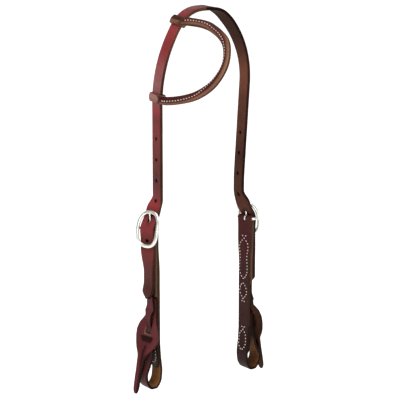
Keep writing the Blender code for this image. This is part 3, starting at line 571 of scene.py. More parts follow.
@dataclass(frozen=True)
class SteelFinish:
    """Polished cast stainless steel with fine handling marks."""

    name: str
    color: Color
    shade: Color
    metallic: float = 0.6
    soft_scale: float = 240.0
    soft_depth: float = 0.00012
    soft_polish: Span = (0.3, 0.7, 0.14, 0.26)
    mark_scale: tuple[float, float, float] = (5200.0, 5200.0, 420.0)
    mark_depth: float = 0.000012
    mark_polish: Span = (0.55, 0.8, 0.0, 0.12)

    def build(self) -> bpy.types.Material:
        """Make the material."""
        bench = Bench(self.name)
        soft = bench.noise(self.soft_scale)
        marks = bench.node("ShaderNodeTexNoise", in_Vector=bench.node(
            "ShaderNodeMapping", in_Vector=bench.spot, in_Scale=self.mark_scale).outputs["Vector"],
            in_Scale=1.0, in_Detail=2.0).outputs["Fac"]
        color = bench.mix(bench.span(soft, 0.35, 0.7), self.color, self.shade)
        roughness = bench.plus(bench.span(soft, *self.soft_polish), bench.span(marks, *self.mark_polish))
        relief = bench.bump(soft, self.soft_depth, bench.bump(marks, self.mark_depth))
        return bench.finish(color, roughness, relief, Metallic=self.metallic)


@dataclass(frozen=True)
class FloorFinish:
    """A plain pale floor."""

    name: str = "studio_floor"
    color: Color = (0.95, 0.95, 0.95)
    roughness: float = 0.9
    glow: float = 0.3

    def build(self) -> bpy.types.Material:
        """Make the material."""
        bench = Bench(self.name)
        tone = bench.mix(bench.noise(3.0, 2.0), self.color, tuple(c * 0.99 for c in self.color))
        bench.feed(bench.shader.inputs["Emission Color"], self.color)
        return bench.finish(tone, self.roughness, None, Emission_Strength=self.glow)


class Finishes:
    """The finishes of all pieces, each made once."""

    def __init__(self) -> None:
        """Build the leathers, the thread and the steel."""
        self.crown = LeatherFinish(
            "crown_leather", grain=(0.285, 0.040, 0.043), grain_shaded=(0.072, 0.019, 0.017),
            flesh=(0.165, 0.056, 0.032), flesh_shaded=(0.034, 0.013, 0.008), edge=(0.024, 0.008, 0.005),
            raw_edge=(0.150, 0.050, 0.028), painted_highlight=(0.300, 0.112, 0.112)).build()
        self.cheek = LeatherFinish(
            "cheek_leather", grain=(0.110, 0.024, 0.027), grain_shaded=(0.026, 0.009, 0.007),
            flesh=(0.215, 0.092, 0.028), flesh_shaded=(0.060, 0.019, 0.008), edge=(0.010, 0.004, 0.003),
            raw_edge=(0.125, 0.066, 0.036), painted_highlight=(0.180, 0.055, 0.058)).build()
        self.latch = LeatherFinish(
            "latch_leather", grain=(0.115, 0.024, 0.027), grain_shaded=(0.016, 0.005, 0.004),
            flesh=(0.060, 0.024, 0.013), flesh_shaded=(0.016, 0.006, 0.004), edge=(0.012, 0.004, 0.003),
            raw_edge=(0.300, 0.150, 0.090), painted_highlight=(0.180, 0.055, 0.058)).build()
        self.backing = LeatherFinish(
            "backing_leather", grain=(0.045, 0.016, 0.009), grain_shaded=(0.020, 0.007, 0.004),
            flesh=(0.060, 0.024, 0.012), flesh_shaded=(0.030, 0.012, 0.006), edge=(0.016, 0.006, 0.004),
            raw_edge=(0.080, 0.036, 0.018), painted_highlight=(0.090, 0.040, 0.030)).build()
        self.ear = LeatherFinish(
            "ear_leather", grain=(0.205, 0.092, 0.056), grain_shaded=(0.060, 0.013, 0.011),
            flesh=(0.110, 0.044, 0.024), flesh_shaded=(0.050, 0.020, 0.010), edge=(0.070, 0.026, 0.015),
            raw_edge=(0.230, 0.125, 0.070), painted_highlight=(0.420, 0.190, 0.190)).build()
        self.lining = LeatherFinish(
            "lining_leather", grain=(0.120, 0.045, 0.028), grain_shaded=(0.050, 0.018, 0.012),
            flesh=(0.110, 0.044, 0.024), flesh_shaded=(0.050, 0.020, 0.010), edge=(0.100, 0.040, 0.024),
            raw_edge=(0.190, 0.090, 0.052), painted_highlight=(0.200, 0.090, 0.070)).build()
        self.thread = ThreadFinish("waxed_thread", (0.86, 0.74, 0.68), (0.46, 0.31, 0.26)).build()
        self.steel = SteelFinish("buckle_steel", (0.86, 0.85, 0.78), (0.76, 0.75, 0.69)).build()


# ---------------------------------------------------------------- mesh making


@dataclass
class Cell:
    """One point of a leather sheet's middle surface with the leather in front of and behind it."""

    point: Vector
    front: float
    back: float
    rim: float
    tone: float
    raw: float
    slide: Vector

    def spot(self, offset: float) -> Vector:
        """The middle point moved for a place that lies so far in front of it."""
        return self.point + self.slide * ((2 * offset - self.front + self.back) / (self.front + self.back))


@dataclass
class Sheet:
    """A piece of leather: a grid on its middle surface that is then given its thickness.

    The front is the grain face. Boundary points get a rounded rim that stands out from the grid
    by the rim's radius, so the grid is laid out smaller by that much.
    """

    cells: list[Cell] = field(default_factory=list)
    faces: list[tuple[int, ...]] = field(default_factory=list)
    rim_steps: int = 4
    rim_limit: float = 0.98
    edge_reach: float = 0.0016
    edge_on_face: float = 0.45
    shortest_sum: float = 0.2
    longest_mitre: float = 1.35

    def add(self, point: Vector, front: float, back: float, rim: float, tone: float = 0.5,
            raw: float = 0.0) -> int:
        """Add a point and give back its number."""
        self.cells.append(Cell(point, front, back, rim, tone, raw, Vector((0, 0, 0))))
        return len(self.cells) - 1

    def face_towards(self, number: int, direction: Vector) -> None:
        """Turn the sheet so that the grain at a face looks in a direction."""
        if self.face_normal(self.faces[number]).dot(direction) < 0:
            self.faces = [tuple(reversed(face)) for face in self.faces]

    def face_normal(self, face: tuple[int, ...]) -> Vector:
        """Area-weighted normal of one face."""
        points = [self.cells[i].point for i in face]
        total = Vector((0, 0, 0))
        for a, b in zip(points[1:], points[2:]):
            total += (a - points[0]).cross(b - points[0])
        return total

    def _normals(self) -> list[Vector]:
        """Unit normal at each point."""
        found = [Vector((0, 0, 0)) for _ in self.cells]
        for face in self.faces:
            normal = self.face_normal(face)
            for index in face:
                found[index] += normal
        return [normal.normalized() for normal in found]

    def _boundary(self) -> list[tuple[int, int]]:
        """Edges with a face on one side only, in that face's direction."""
        seen = set()
        for face in self.faces:
            for a, b in zip(face, face[1:] + face[:1]):
                seen.add((a, b))
        return [(a, b) for a, b in seen if (b, a) not in seen]

    def _outwards(self, rim: list[tuple[int, int]], normals: list[Vector]) -> dict[int, Vector]:
        """Direction away from the leather at each boundary point."""
        found: dict[int, list[Vector]] = {}
        for a, b in rim:
            along = (self.cells[b].point - self.cells[a].point).normalized()
            for index in (a, b):
                found.setdefault(index, []).append(along.cross(normals[index]).normalized())
        out = {}
        for index, sides in found.items():
            total = sum(sides, Vector((0, 0, 0)))
            length = max(total.length, self.shortest_sum)
            out[index] = total / length * min(len(sides) / length, self.longest_mitre)
        return out

    def _edge_shares(self, rim: list[tuple[int, int]]) -> list[float]:
        """How close each point lies to the leather's edge: 1 at the edge, 0 a little way in."""
        near = {index: 0.0 for edge in rim for index in edge}
        links: dict[int, set[int]] = {}
        for face in self.faces:
            for a, b in zip(face, face[1:] + face[:1]):
                links.setdefault(a, set()).add(b)
                links.setdefault(b, set()).add(a)
        front = list(near)
        while front:
            after = []
            for index in front:
                for other in links.get(index, ()):
                    far = near[index] + (self.cells[other].point - self.cells[index].point).length
                    if far < self.edge_reach and far < near.get(other, self.edge_reach):
                        near[other] = far
                        after.append(other)
            front = after
        return [1 - near[i] / self.edge_reach if i in near else 0.0 for i in range(len(self.cells))]

    def fill(self, grid: list[list[int]], left_out: Callable[[int, int], bool] | None = None,
             closed: bool = False) -> None:
        """Join the rows of a grid with faces.

        Args:
            grid: Point numbers, row by row.
            left_out: Tells by row and lane where there is no leather.
            closed: Whether the last point of each row joins its first.
        """
        for i, (low, high) in enumerate(zip(grid, grid[1:])):
            for j in range(len(low) if closed else len(low) - 1):
                k = (j + 1) % len(low)
                if left_out is None or not left_out(i, j):
                    self.faces.append((low[j], low[k], high[k], high[j]))

    def build(self, name: str, material: bpy.types.Material) -> bpy.types.Object:
        """Give the sheet its thickness and make it an object.

        Args:
            name: The piece's name.
            material: Its finish.

        Returns:
            The new object.
        """
        used = sorted({index for one in self.faces for index in one})
        renumber = {old: new for new, old in enumerate(used)}
        self.cells = [self.cells[old] for old in used]
        self.faces = [tuple(renumber[index] for index in one) for one in self.faces]
        normals, rim = self._normals(), self._boundary()
        outwards, shares = self._outwards(rim, normals), self._edge_shares(rim)
        points: list[Vector] = []
        values: dict[str, list[float]] = {"edge": [], "flesh": [], "tone": [], "raw": []}
        on_face, turned = self.edge_on_face, 1 - self.edge_on_face

        def put(cell: Cell, point: Vector, near: float, brown: float) -> int:
            """Add a point of the solid with its values and give back its number."""
            points.append(point)
            for key, value in (("edge", near), ("flesh", brown), ("tone", cell.tone), ("raw", cell.raw)):
                values[key].append(value)
            return len(points) - 1

        fronts = [put(c, c.spot(c.front) + n * c.front, s * on_face, 0.0)
                  for c, n, s in zip(self.cells, normals, shares)]
        backs = [put(c, c.spot(-c.back) - n * c.back, s * on_face, 1.0)
                 for c, n, s in zip(self.cells, normals, shares)]
        polygons = [tuple(fronts[i] for i in one) for one in self.faces]
        polygons += [tuple(backs[i] for i in reversed(one)) for one in self.faces]
        profiles: dict[int, list[int]] = {}
        for index, out in outwards.items():
            cell, normal = self.cells[index], normals[index]
            radius = min(cell.rim, (cell.front + cell.back) / 2 * self.rim_limit)
            line = [fronts[index]]
            for step in range(1, self.rim_steps + 1):
                angle = math.pi / 2 * (1 - step / self.rim_steps)
                offset = cell.front - radius + radius * math.sin(angle)
                line.append(put(cell, cell.spot(offset) + out * radius * math.cos(angle) + normal * offset,
                                on_face + turned * step / self.rim_steps, 0.0))
            for step in range(self.rim_steps):
                angle = math.pi / 2 * step / self.rim_steps
                offset = radius - cell.back - radius * math.sin(angle)
                line.append(put(cell, cell.spot(offset) + out * radius * math.cos(angle) + normal * offset,
                                1.0 - turned * step / self.rim_steps, step / self.rim_steps))
            line.append(backs[index])
            profiles[index] = line
        for a, b in rim:
            for (a0, b0), (a1, b1) in zip(zip(profiles[a], profiles[b]), zip(profiles[a][1:], profiles[b][1:])):
                polygons.append((b0, a0, a1, b1))
        return make_object(name, points, polygons, material, values)


def make_object(name: str, points: Sequence[Vector], polygons: Sequence[tuple[int, ...]],
                material: bpy.types.Material, values: dict[str, list[float]] | None = None,
                uvs: Sequence[tuple[float, float]] | None = None) -> bpy.types.Object:
    """Make a smooth mesh object.

    Args:
        name: The object's name.
        points: World points.
        polygons: Point numbers of each face.
        material: The finish.
        values: Numbers to store at each point, by name.
        uvs: A flat coordinate for each point.

    Returns:
        The object, linked to the scene.
    """
    mesh = bpy.data.meshes.new(name)
    mesh.from_pydata([tuple(p) for p in points], [], polygons)
    for key, numbers in (values or {}).items():
        mesh.attributes.new(key, "FLOAT", "POINT").data.foreach_set("value", numbers)
    if uvs:
        layer = mesh.uv_layers.new(name="UVMap")
        for loop in mesh.loops:
            layer.data[loop.index].uv = uvs[loop.vertex_index]
    mesh.shade_smooth()
    mesh.materials.append(material)
    item = bpy.data.objects.new(name, mesh)
    bpy.context.scene.collection.objects.link(item)
    return item


def skin(name: str, rings: Sequence[Sequence[Vector]], material: bpy.types.Material,
         closed: bool = False) -> bpy.types.Object:
    """A closed tube through rings of points.

    Args:
        name: The object's name.
        rings: Rings with the same number of points.
        material: The finish.
        closed: Whether the last ring joins the first.

    Returns:
        The object.
    """
    count = len(rings[0])
    points = [point for ring in rings for point in ring]
    polygons = []
    for index in range(len(rings) if closed else len(rings) - 1):
        low, high = index * count, (index + 1) % len(rings) * count
        for i in range(count):
            j = (i + 1) % count
            polygons.append((low + i, low + j, high + j, high + i))
    if not closed:
        polygons.append(tuple(reversed(range(count))))
        polygons.append(tuple(range(len(points) - count, len(points))))
    item = make_object(name, points, polygons, material)
    bm = bmesh.new()
    bm.from_mesh(item.data)
    bmesh.ops.recalc_face_normals(bm, faces=bm.faces)
    bm.to_mesh(item.data)
    bm.free()
    return item


def wire(line: Sequence[Vector], radii: Sequence[float], sides: int,
         put: Callable[[Vector, float], Vector]) -> list[list[Vector]]:
    """Rings of round wire that is bent in a plane.

    Args:
        line: Points along its middle, in the plane.
        radii: Its radius at each point.
        sides: Points of each ring.
        put: Gives the world point for a place in the plane and a distance out of it.

    Returns:
        The rings.
    """
    rings = []
    for index, (point, radius) in enumerate(zip(line, radii)):
        ahead = (line[min(index + 1, len(line) - 1)] - line[max(index - 1, 0)]).normalized()
        normal = Vector((-ahead.y, ahead.x))
        angles = [2 * math.pi * k / sides for k in range(sides)]
        rings.append([put(point + normal * radius * math.cos(a), radius * math.sin(a)) for a in angles])
    return rings


def seat(item: bpy.types.Object, body: str, slot: Slot, *nodes: str) -> bpy.types.Object:
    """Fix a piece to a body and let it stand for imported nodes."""
    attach(item, body)
    if nodes:
        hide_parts(*nodes)
    LOG.info("%s rides on %s, %d faces", item.name, body, len(item.data.polygons))
    return item


def ripple(point: Vector, size: float = 0.00009, pitch: float = 55.0) -> float:
    """Slight unevenness of hand-cut leather at a point."""
    return noise.noise(point * pitch) * size


# ---------------------------------------------------------------- crown strap


@dataclass(frozen=True)
class Punch:
    """A hole in the crown strap and the block of the strap's grid that it takes up.

    Row is the grid's row through its middle, and reach the rows from there to the block's end.
    Length and width are half of the opening's own.
    """

    row: int
    reach: int
    length: float
    width: float

    @property
    def slot(self) -> bool:
        """Whether the tongue has drawn the hole out into a slot."""
        return self.length != self.width


@dataclass
class StrapHalf:
    """One half of the crown strap: its line, the length at each row of its grid, and its holes."""

    side: Side
    path: Path
    along: list[float]
    punches: list[Punch]


@dataclass
class Crown:
    """The strap over the poll, with its billets, points and punched holes."""

    poll_flat: float = 0.006
    point_length: float = 0.009
    point_width: float = 0.005
    billet_swing: float = 0.018
    tip_run: float = 0.021
    tip_rest: float = 0.0045
    rim: float = 0.0010
    hole_rim: float = 0.0004
    holes_above: int = 4
    holes_below: int = 1
    rows_per_pitch: int = 26
    lane: float = 0.001
    lanes_each_way: int = 8
    patch: int = 4
    patch_rings: int = 3
    slot_patch: int = 9
    slot_half: float = 0.0048
    slot_drop: float = 0.0020
    slot_width: float = 0.0018
    slot_slant: float = 0.0038
    hole_power: float = 2.0
    slot_power: float = 3.0
    dimple: float = 0.00022
    dimple_reach: float = 0.8
    poll_centre: float = -0.06
    hole_darkening: float = 0.35
    raw_edges: Table = ((0.0, 0.9), (-0.020, 0.8), (-0.050, 0.45), (-0.075, 0.2), (-0.110, 0.3))
    spare_radius: float = 0.0019

    def half(self, side: Side) -> list[Vector]:
        """Centreline of one half from poll to tip, as dense (depth, height) points."""
        spot = Vector((self.poll_flat / 2 - side.out, side.bar_drop + STOCK.crown / 2))
        points, heading = [Vector((-side.out, spot.y)), spot.copy()], 0.0
        for size, turn in side.crown_moves:
            if turn is None:
                spot = spot + Vector((math.cos(heading), -math.sin(heading))) * size
                points.append(spot)
                continue
            steps = max(3, round(size * math.radians(abs(turn)) / self.lane))
            bend = math.radians(turn / steps)
            chord = 2 * size * math.sin(abs(bend) / 2)
            for _ in range(steps):
                middle = heading + bend / 2
                spot = spot + Vector((math.cos(middle), -math.sin(middle))) * chord
                heading += bend
                points.append(spot)
        side_depth = spot.x
        clear = (BUCKLE.thickness + STOCK.crown) / 2 + BILLET_PLAY
        behind_top = Vector((BUCKLE.top - clear * math.cos(TOP_LEAN), BAND_HEIGHT - clear * math.sin(TOP_LEAN)))
        hang = BAND_HEIGHT + self.billet_swing
        down, slanting = Vector((0, -1)), Vector((math.sin(TOP_LEAN), -math.cos(TOP_LEAN)))
        behind_bottom, tip_start = BUCKLE.band * 1.5 - BAND_HEIGHT, self.tip_run - side.tail_drop
        points += smooth([(side_depth, hang), behind_top], down, slanting)
        points += smooth([behind_top, (BILLET_AT_BAR, 0), (BILLET_BELOW, behind_bottom)], slanting, down)
        tip_depth = BILLET_TIP if side.tail_drop > STOCK.head_top_drop else BILLET_BELOW
        points += smooth([(BILLET_BELOW, tip_start), (tip_depth, self.tip_rest - side.tail_drop),
                          (tip_depth, -side.tail_drop)], down)
        return points

    def used_hole(self, side: Side) -> Vector:
        """(depth, height) where the tongue goes through the billet."""
        root, tip = Tongue.line()
        along = (tip - root).normalized()
        dense = Path([p for p in self.half(side) if abs(p.y) < FRAME_HALF]).evenly(self.lane / 4)
        return min(dense, key=lambda p: abs((p - root).cross(along)))

    @property
    def full(self) -> float:
        """Place across of the grid's outermost points."""
        return STOCK.strap_width / 2 - self.rim

    @property
    def lanes(self) -> list[float]:
        """Places across of the grid's points, from edge to edge."""
        inside = [k * self.lane for k in range(-self.lanes_each_way, self.lanes_each_way + 1)]
        return [-self.full] + inside + [self.full]

    def build(self, finishes: Finishes) -> None:
        """Make both halves as one sheet that is joined at the poll."""
        sheet, grids = Sheet(), []
        middle = len(self.lanes) // 2
        for side in (OFF, NEAR):
            half = self._lay_out(side)
            grid = [[self._add(sheet, half, along, across) for across in self.lanes] for along in half.along]
            sheet.fill(grid, lambda i, j: any(
                abs(i + 0.5 - punch.row) < punch.reach and abs(j + 0.5 - middle) < self.patch
                for punch in half.punches))
            for punch in half.punches:
                self._patch(sheet, half, grid, punch)
            grids.append(grid)
        shared = dict(zip(grids[1][0], grids[0][0]))
        sheet.faces = [tuple(shared.get(index, index) for index in one) for one in sheet.faces]
        self._orient(sheet)
        seat(sheet.build("crown_strap_leather", finishes.crown), "crown", Slot.CROWN, "crown_strap")

    def _lay_out(self, side: Side) -> StrapHalf:
        """Set out the rows of one half so that a row runs through the middle of each hole."""
        path, step = Path(self.half(side)), STOCK.hole_pitch / self.rows_per_pitch
        start = path.nearest(self.used_hole(side))
        used, after = math.floor(start / step), math.floor((path.length - start) / step)
        along = [start + (k - used) * step for k in range(used + after + 1)]
        along[0], along[-1] = 0.0, path.length - self.rim
        numbers = [-k - 1 for k in range(self.holes_above)] + [k + 1 for k in range(self.holes_below)]
        punches = [Punch(used + n * self.rows_per_pitch, self.patch, self.spare_radius, self.spare_radius)
                   for n in numbers]
        punches.append(Punch(used, self.slot_patch, self.slot_half, self.slot_width))
        return StrapHalf(side, path, along, punches)

    def _add(self, sheet: Sheet, half: StrapHalf, along: float, across: float) -> int:
        """Add a point of the strap to its sheet.

        Args:
            sheet: The sheet to add to.
            half: Which half of the strap.
            along: Length from the poll.
            across: Place across, before the strap narrows towards its point.

        Returns:
            The point's number.
        """
        side, path = half.side, half.path
        spot = path.at(along)
        share = smoothstep((path.length - along) / self.point_length)
        edge = (self.point_width + (STOCK.strap_width - self.point_width) * share) / 2 - self.rim
        a = across * edge / self.full
        tilt = math.radians(between(spot.y - side.bar_drop, side.crown_tilts))
        ahead = (path.at(along + self.lane) - path.at(along - self.lane)).normalized()
        spot = spot + Vector((-ahead.y, ahead.x)) * a * math.sin(tilt)
        point = side.place(spot.x, a * math.cos(tilt), spot.y)
        # The tone by height is painted shade and painted highlight along the strap.
        lift, tone = ripple(point), between(spot.y - side.bar_drop, side.crown_shading)
        for punch in half.punches:
            if not punch.slot:
                past = math.hypot(along - half.along[punch.row], across) - punch.width
                lift -= self.dimple * smoothstep(1 - past / (punch.width * self.dimple_reach))
                # Darken the leather round the hole.
                tone += self.hole_darkening * smoothstep(1 - past / punch.width)
        raw = between(spot.y - side.bar_drop, self.raw_edges) * (across > 0) * (side is OFF)
        return sheet.add(point, STOCK.crown / 2 + lift, STOCK.crown / 2 + ripple(point, pitch=FLESH_PITCH), self.rim,
                         tone, raw)

    def _orient(self, sheet: Sheet) -> None:
        """Make every face look away from the head, so both halves agree."""
        turned = []
        for one in sheet.faces:
            centre = sum((sheet.cells[i].point for i in one), Vector((0, 0, 0))) / len(one)
            side = OFF if centre.x < 0 else NEAR
            away = side.outwards(centre.z + side.bar_drop)
            if centre.z > self.poll_centre:
                away = Vector((centre.x, 0, centre.z - self.poll_centre))
            turned.append(one if sheet.face_normal(one).dot(away) > 0 else tuple(reversed(one)))
        sheet.faces = turned

    def _patch(self, sheet: Sheet, half: StrapHalf, grid: list[list[int]], punch: Punch) -> None:
        """Fill a block of the grid with rings round a hole or slot.

        Args:
            sheet: The sheet to add to.
            half: Which half of the strap.
            grid: Point numbers of the half's grid.
            punch: The hole or slot.
        """
        lanes, along, row, reach = self.lanes, half.along, punch.row, punch.reach
        middle = len(lanes) // 2
        up = [(row - reach, middle - self.patch + k) for k in range(2 * self.patch)]
        right = [(row - reach + k, middle + self.patch) for k in range(2 * reach)]
        down = [(row + reach, middle + self.patch - k) for k in range(2 * self.patch)]
        left = [(row + reach - k, middle - self.patch) for k in range(2 * reach)]
        border = up + right + down + left
        centre = along[row]
        above, below = grid[row - 1][middle], grid[row + 1][middle]
        upwards = (sheet.cells[above].point - sheet.cells[below].point).normalized() * self.slot_slant
        rings = [[grid[i][j] for i, j in border]]
        power = self.slot_power if punch.slot else self.hole_power
        for step in range(1, self.patch_rings + 1):
            share = smoothstep(step / self.patch_rings) * 0.5 + step / self.patch_rings * 0.5
            ring = []
            for i, j in border:
                s, a = along[i] - centre, lanes[j]
                angle = math.atan2(a / (self.patch * self.lane), s / (reach * self.lane))
                size = (abs(math.cos(angle)) ** power + abs(math.sin(angle)) ** power) ** (-1 / power)
                hs = (punch.length + self.hole_rim) * size * math.cos(angle) + self.slot_drop * punch.slot
                ha = (punch.width + self.hole_rim) * size * math.sin(angle)
                number = self._add(sheet, half, centre + s + (hs - s) * share, a + (ha - a) * share)
                cell = sheet.cells[number]
                cell.rim = self.hole_rim
                if punch.slot:
                    cell.slide = upwards * share
                    # Darken the leather into the slot.
                    cell.tone += self.hole_darkening * share
                ring.append(number)
            rings.append(ring)
        for outer, inner in zip(rings, rings[1:]):
            for k in range(len(outer)):
                j = (k + 1) % len(outer)
                sheet.faces.append((outer[k], outer[j], inner[j], inner[k]))


# ---------------------------------------------------------------- buckle


@dataclass
class Tongue:
    """The buckle's tongue: bent wire with an eye round the bar."""

    wrap_from: float = 125.0
    wrap_turn: float = 290.0
    wrap_steps: int = 36
    tip_share: float = 0.62
    taper_run: float = 3.0
    sides: int = 16

    @staticmethod
    def line() -> tuple[Vector, Vector]:
        """Two (depth, height) points on the tongue's straight shaft, root and tip."""
        band = math.hypot(BUCKLE.thickness / 2 * math.cos(TOP_LEAN), BUCKLE.band / 2 * math.sin(TOP_LEAN))
        tip = Vector((BUCKLE.top + band + STOCK.gap + BUCKLE.tongue_radius, BAND_HEIGHT + BUCKLE.tongue_overhang))
        return Vector((BUCKLE.bar_radius / 4, TONGUE_WRAP + BUCKLE.bar_radius)), tip

    def build(self, side: Side, finishes: Finishes) -> None:
        """Bend the tongue round the bar."""
        root, tip = self.line()
        wrap = [Vector((math.cos(a), math.sin(a))) * TONGUE_WRAP for a in (
            math.radians(self.wrap_from + self.wrap_turn * k / self.wrap_steps) for k in range(self.wrap_steps + 1))]
        along = (tip - root).normalized()
        shaft = smooth([wrap[-1], root + along * TONGUE_WRAP, tip], (wrap[-1] - wrap[-2]).normalized(), along, 14)
        path = wrap[:-1] + shaft
        length = Path(path).length
        done, radii = 0.0, []
        for index, point in enumerate(path):
            done += (point - path[index - 1]).length if index else 0.0
            left = (length - done) / (BUCKLE.tongue_radius * self.taper_run)
            radius = BUCKLE.tongue_radius * (self.tip_share + (1 - self.tip_share) * smoothstep(left))
            radii.append(radius * math.sqrt(max(0.02, 1 - max(0.0, 1 - (length - done) / BUCKLE.tongue_radius) ** 2)))
        rings = wire(path, radii, self.sides, lambda spot, out: side.on_bar(spot.x, out, spot.y))
        item = skin(f"{side.name}_tongue_steel", rings, finishes.steel)
        seat(item, f"{side.name}_tongue", Slot.STEEL, f"{side.name}_buckle_tongue")


@dataclass
class Buckle:
    """The oval frame with its bar."""

    stations: int = 176
    sides: int = 28
    section_power: float = 2.5
    section_share: float = 0.97
    bar_sides: int = 20

    def build(self, side: Side, finishes: Finishes) -> None:
        """Sweep the frame and the bar, then add the tongue."""
        half_width = (BUCKLE.width - BUCKLE.band) / 2
        rings = []
        for k in range(self.stations):
            angle = 2 * math.pi * k / self.stations
            c, s = math.cos(angle), math.sin(angle)
            size = (abs(c) ** BUCKLE.oval_power + abs(s) ** BUCKLE.oval_power) ** (-1 / BUCKLE.oval_power)
            up = size * s
            slope = (FRAME_RAKE - 2 * BUCKLE.bow * up) / BAND_HEIGHT
            centre = Vector((FRAME_MIDDLE + FRAME_RAKE * up - BUCKLE.bow * up * up,
                             half_width * size * c, BAND_HEIGHT * up))
            rise = up / BAND_HEIGHT
            outwards = Vector((slope * rise, centre.y / half_width ** 2, rise)).normalized()
            through = Vector((1, 0, -slope)).normalized()
            ring = []
            for j in range(self.sides):
                a = 2 * math.pi * j / self.sides
                w, t = math.cos(a), math.sin(a)
                fat = (abs(w) ** self.section_power + abs(t) ** self.section_power) ** (-1 / self.section_power)
                spot = (centre + outwards * (BUCKLE.band / 2 * w * fat * self.section_share)
                        + through * (BUCKLE.thickness / 2 * t * fat * self.section_share))
                ring.append(side.on_bar(spot.x, spot.y, spot.z))
            rings.append(ring)
        item = skin(f"{side.name}_frame_steel", rings, finishes.steel, closed=True)
        seat(item, "crown", Slot.STEEL, f"{side.name}_buckle_frame")
        straight = STOCK.strap_width / 2 + STOCK.gap + BUCKLE.bar_radius / 3
        bend = (straight + half_width) / 2
        line = [Vector((0, straight)), Vector((FRAME_MIDDLE / 2, bend)), Vector((FRAME_MIDDLE, half_width))]
        arm = smooth(line, Vector((0, 1)), None, 8)
        line = [Vector((p.x, -p.y)) for p in reversed(arm)] + arm
        rings = wire(line, [BUCKLE.bar_radius] * len(line), self.bar_sides,
                     lambda spot, out: side.on_bar(spot.x, spot.y, out))
        seat(skin(f"{side.name}_bar_steel", rings, finishes.steel), "crown", Slot.STEEL)
        Tongue().build(side, finishes)


# ---------------------------------------------------------------- stitching


@dataclass
class Stitching:
    """A row of single stitches that dip into the leather at both ends."""

    pitch: float = 0.0041
    share: float = 0.46
    radius: float = 0.00060
    rise: float = 0.00040
    sink: float = 0.00050
    end_share: float = 0.45
    flatness: float = 0.8
    twists: float = 3.0
    sides: int = 8
    steps: int = 8

    def sew(self, name: str, line: Sequence[Vector], lifts: Sequence[Vector],
            material: bpy.types.Material) -> bpy.types.Object:
        """Lay stitches along a line on the leather's surface.

        Args:
            name: The piece's name.
            line: World points on the surface.
            lifts: Directions away from the leather at those points.
            material: The thread's finish.

        Returns:
            One object that holds all the stitches.
        """
        path = Path(line)
        count = max(1, round(path.length / self.pitch))
        pitch = path.length / count
        tips = Path([p + l.normalized() for p, l in zip(line, lifts)])
        points: list[Vector] = []
        polygons: list[tuple[int, ...]] = []
        uvs: list[tuple[float, float]] = []
        for number in range(count):
            begin = pitch * (number + (1 - self.share) / 2)
            base = len(points)
            for step in range(self.steps + 1):
                share = step / self.steps
                along = begin + pitch * self.share * share
                spot = path.at(along)
                ahead = (path.at(along + pitch / 20) - path.at(along - pitch / 20)).normalized()
                up = tips.at(along / path.length * tips.length) - spot
                up = (up - ahead * up.dot(ahead)).normalized()
                across = ahead.cross(up)
                hump = 1 - (2 * share - 1) ** 4
                centre = spot + up * (self.rise * hump - self.sink * (1 - hump))
                radius = self.radius * (self.end_share + (1 - self.end_share) * math.sqrt(max(0.0, hump)))
                for k in range(self.sides):
                    angle = 2 * math.pi * k / self.sides
                    around = across * math.cos(angle) + up * math.sin(angle) * self.flatness
                    points.append(centre + around * radius)
                    uvs.append((share * self.twists, k / self.sides))
            for step in range(self.steps):
                low, high = base + step * self.sides, base + (step + 1) * self.sides
                for k in range(self.sides):
                    j = (k + 1) % self.sides
                    polygons.append((low + k, high + k, high + j, low + j))
            polygons.append(tuple(base + k for k in range(self.sides)))
            polygons.append(tuple(base + self.steps * self.sides + k for k in reversed(range(self.sides))))
        return make_object(name, points, polygons, material, uvs=uvs)


@dataclass(frozen=True)
class Seam:
    """A closed loop of stitching with crossed ends on the cheek."""

    name: str
    top: float
    bottom: float
    crossed_at_top: bool
    half_width: float = 0.0060
    overlap: float = 0.55
    shoulder: float = 0.85
    shoulder_drop: float = 2.2
    widest_cross: float = 0.8
    longest_cross: float = 0.2

    def flat(self) -> list[Vector]:
        """The seam's line as (across, drop) points."""
        length = self.bottom - self.top
        cross = min(self.half_width * self.widest_cross, length * self.longest_cross) / length
        high, low, wide = cross * self.shoulder_drop, 1 - cross, self.shoulder
        shares = ((-self.overlap, 0.0), (0.0, cross), (wide, high), (1.0, 0.5), (wide, low), (0.0, 1.0),
                  (-wide, low), (-1.0, 0.5), (-wide, high), (0.0, cross), (self.overlap, 0.0))
        line = smooth([(across * self.half_width, along * length) for across, along in shares], samples=6)
        if self.crossed_at_top:
            return [Vector((p.x, self.top + p.y)) for p in line]
        return [Vector((p.x, self.bottom - p.y)) for p in line]


# ---------------------------------------------------------------- cheek


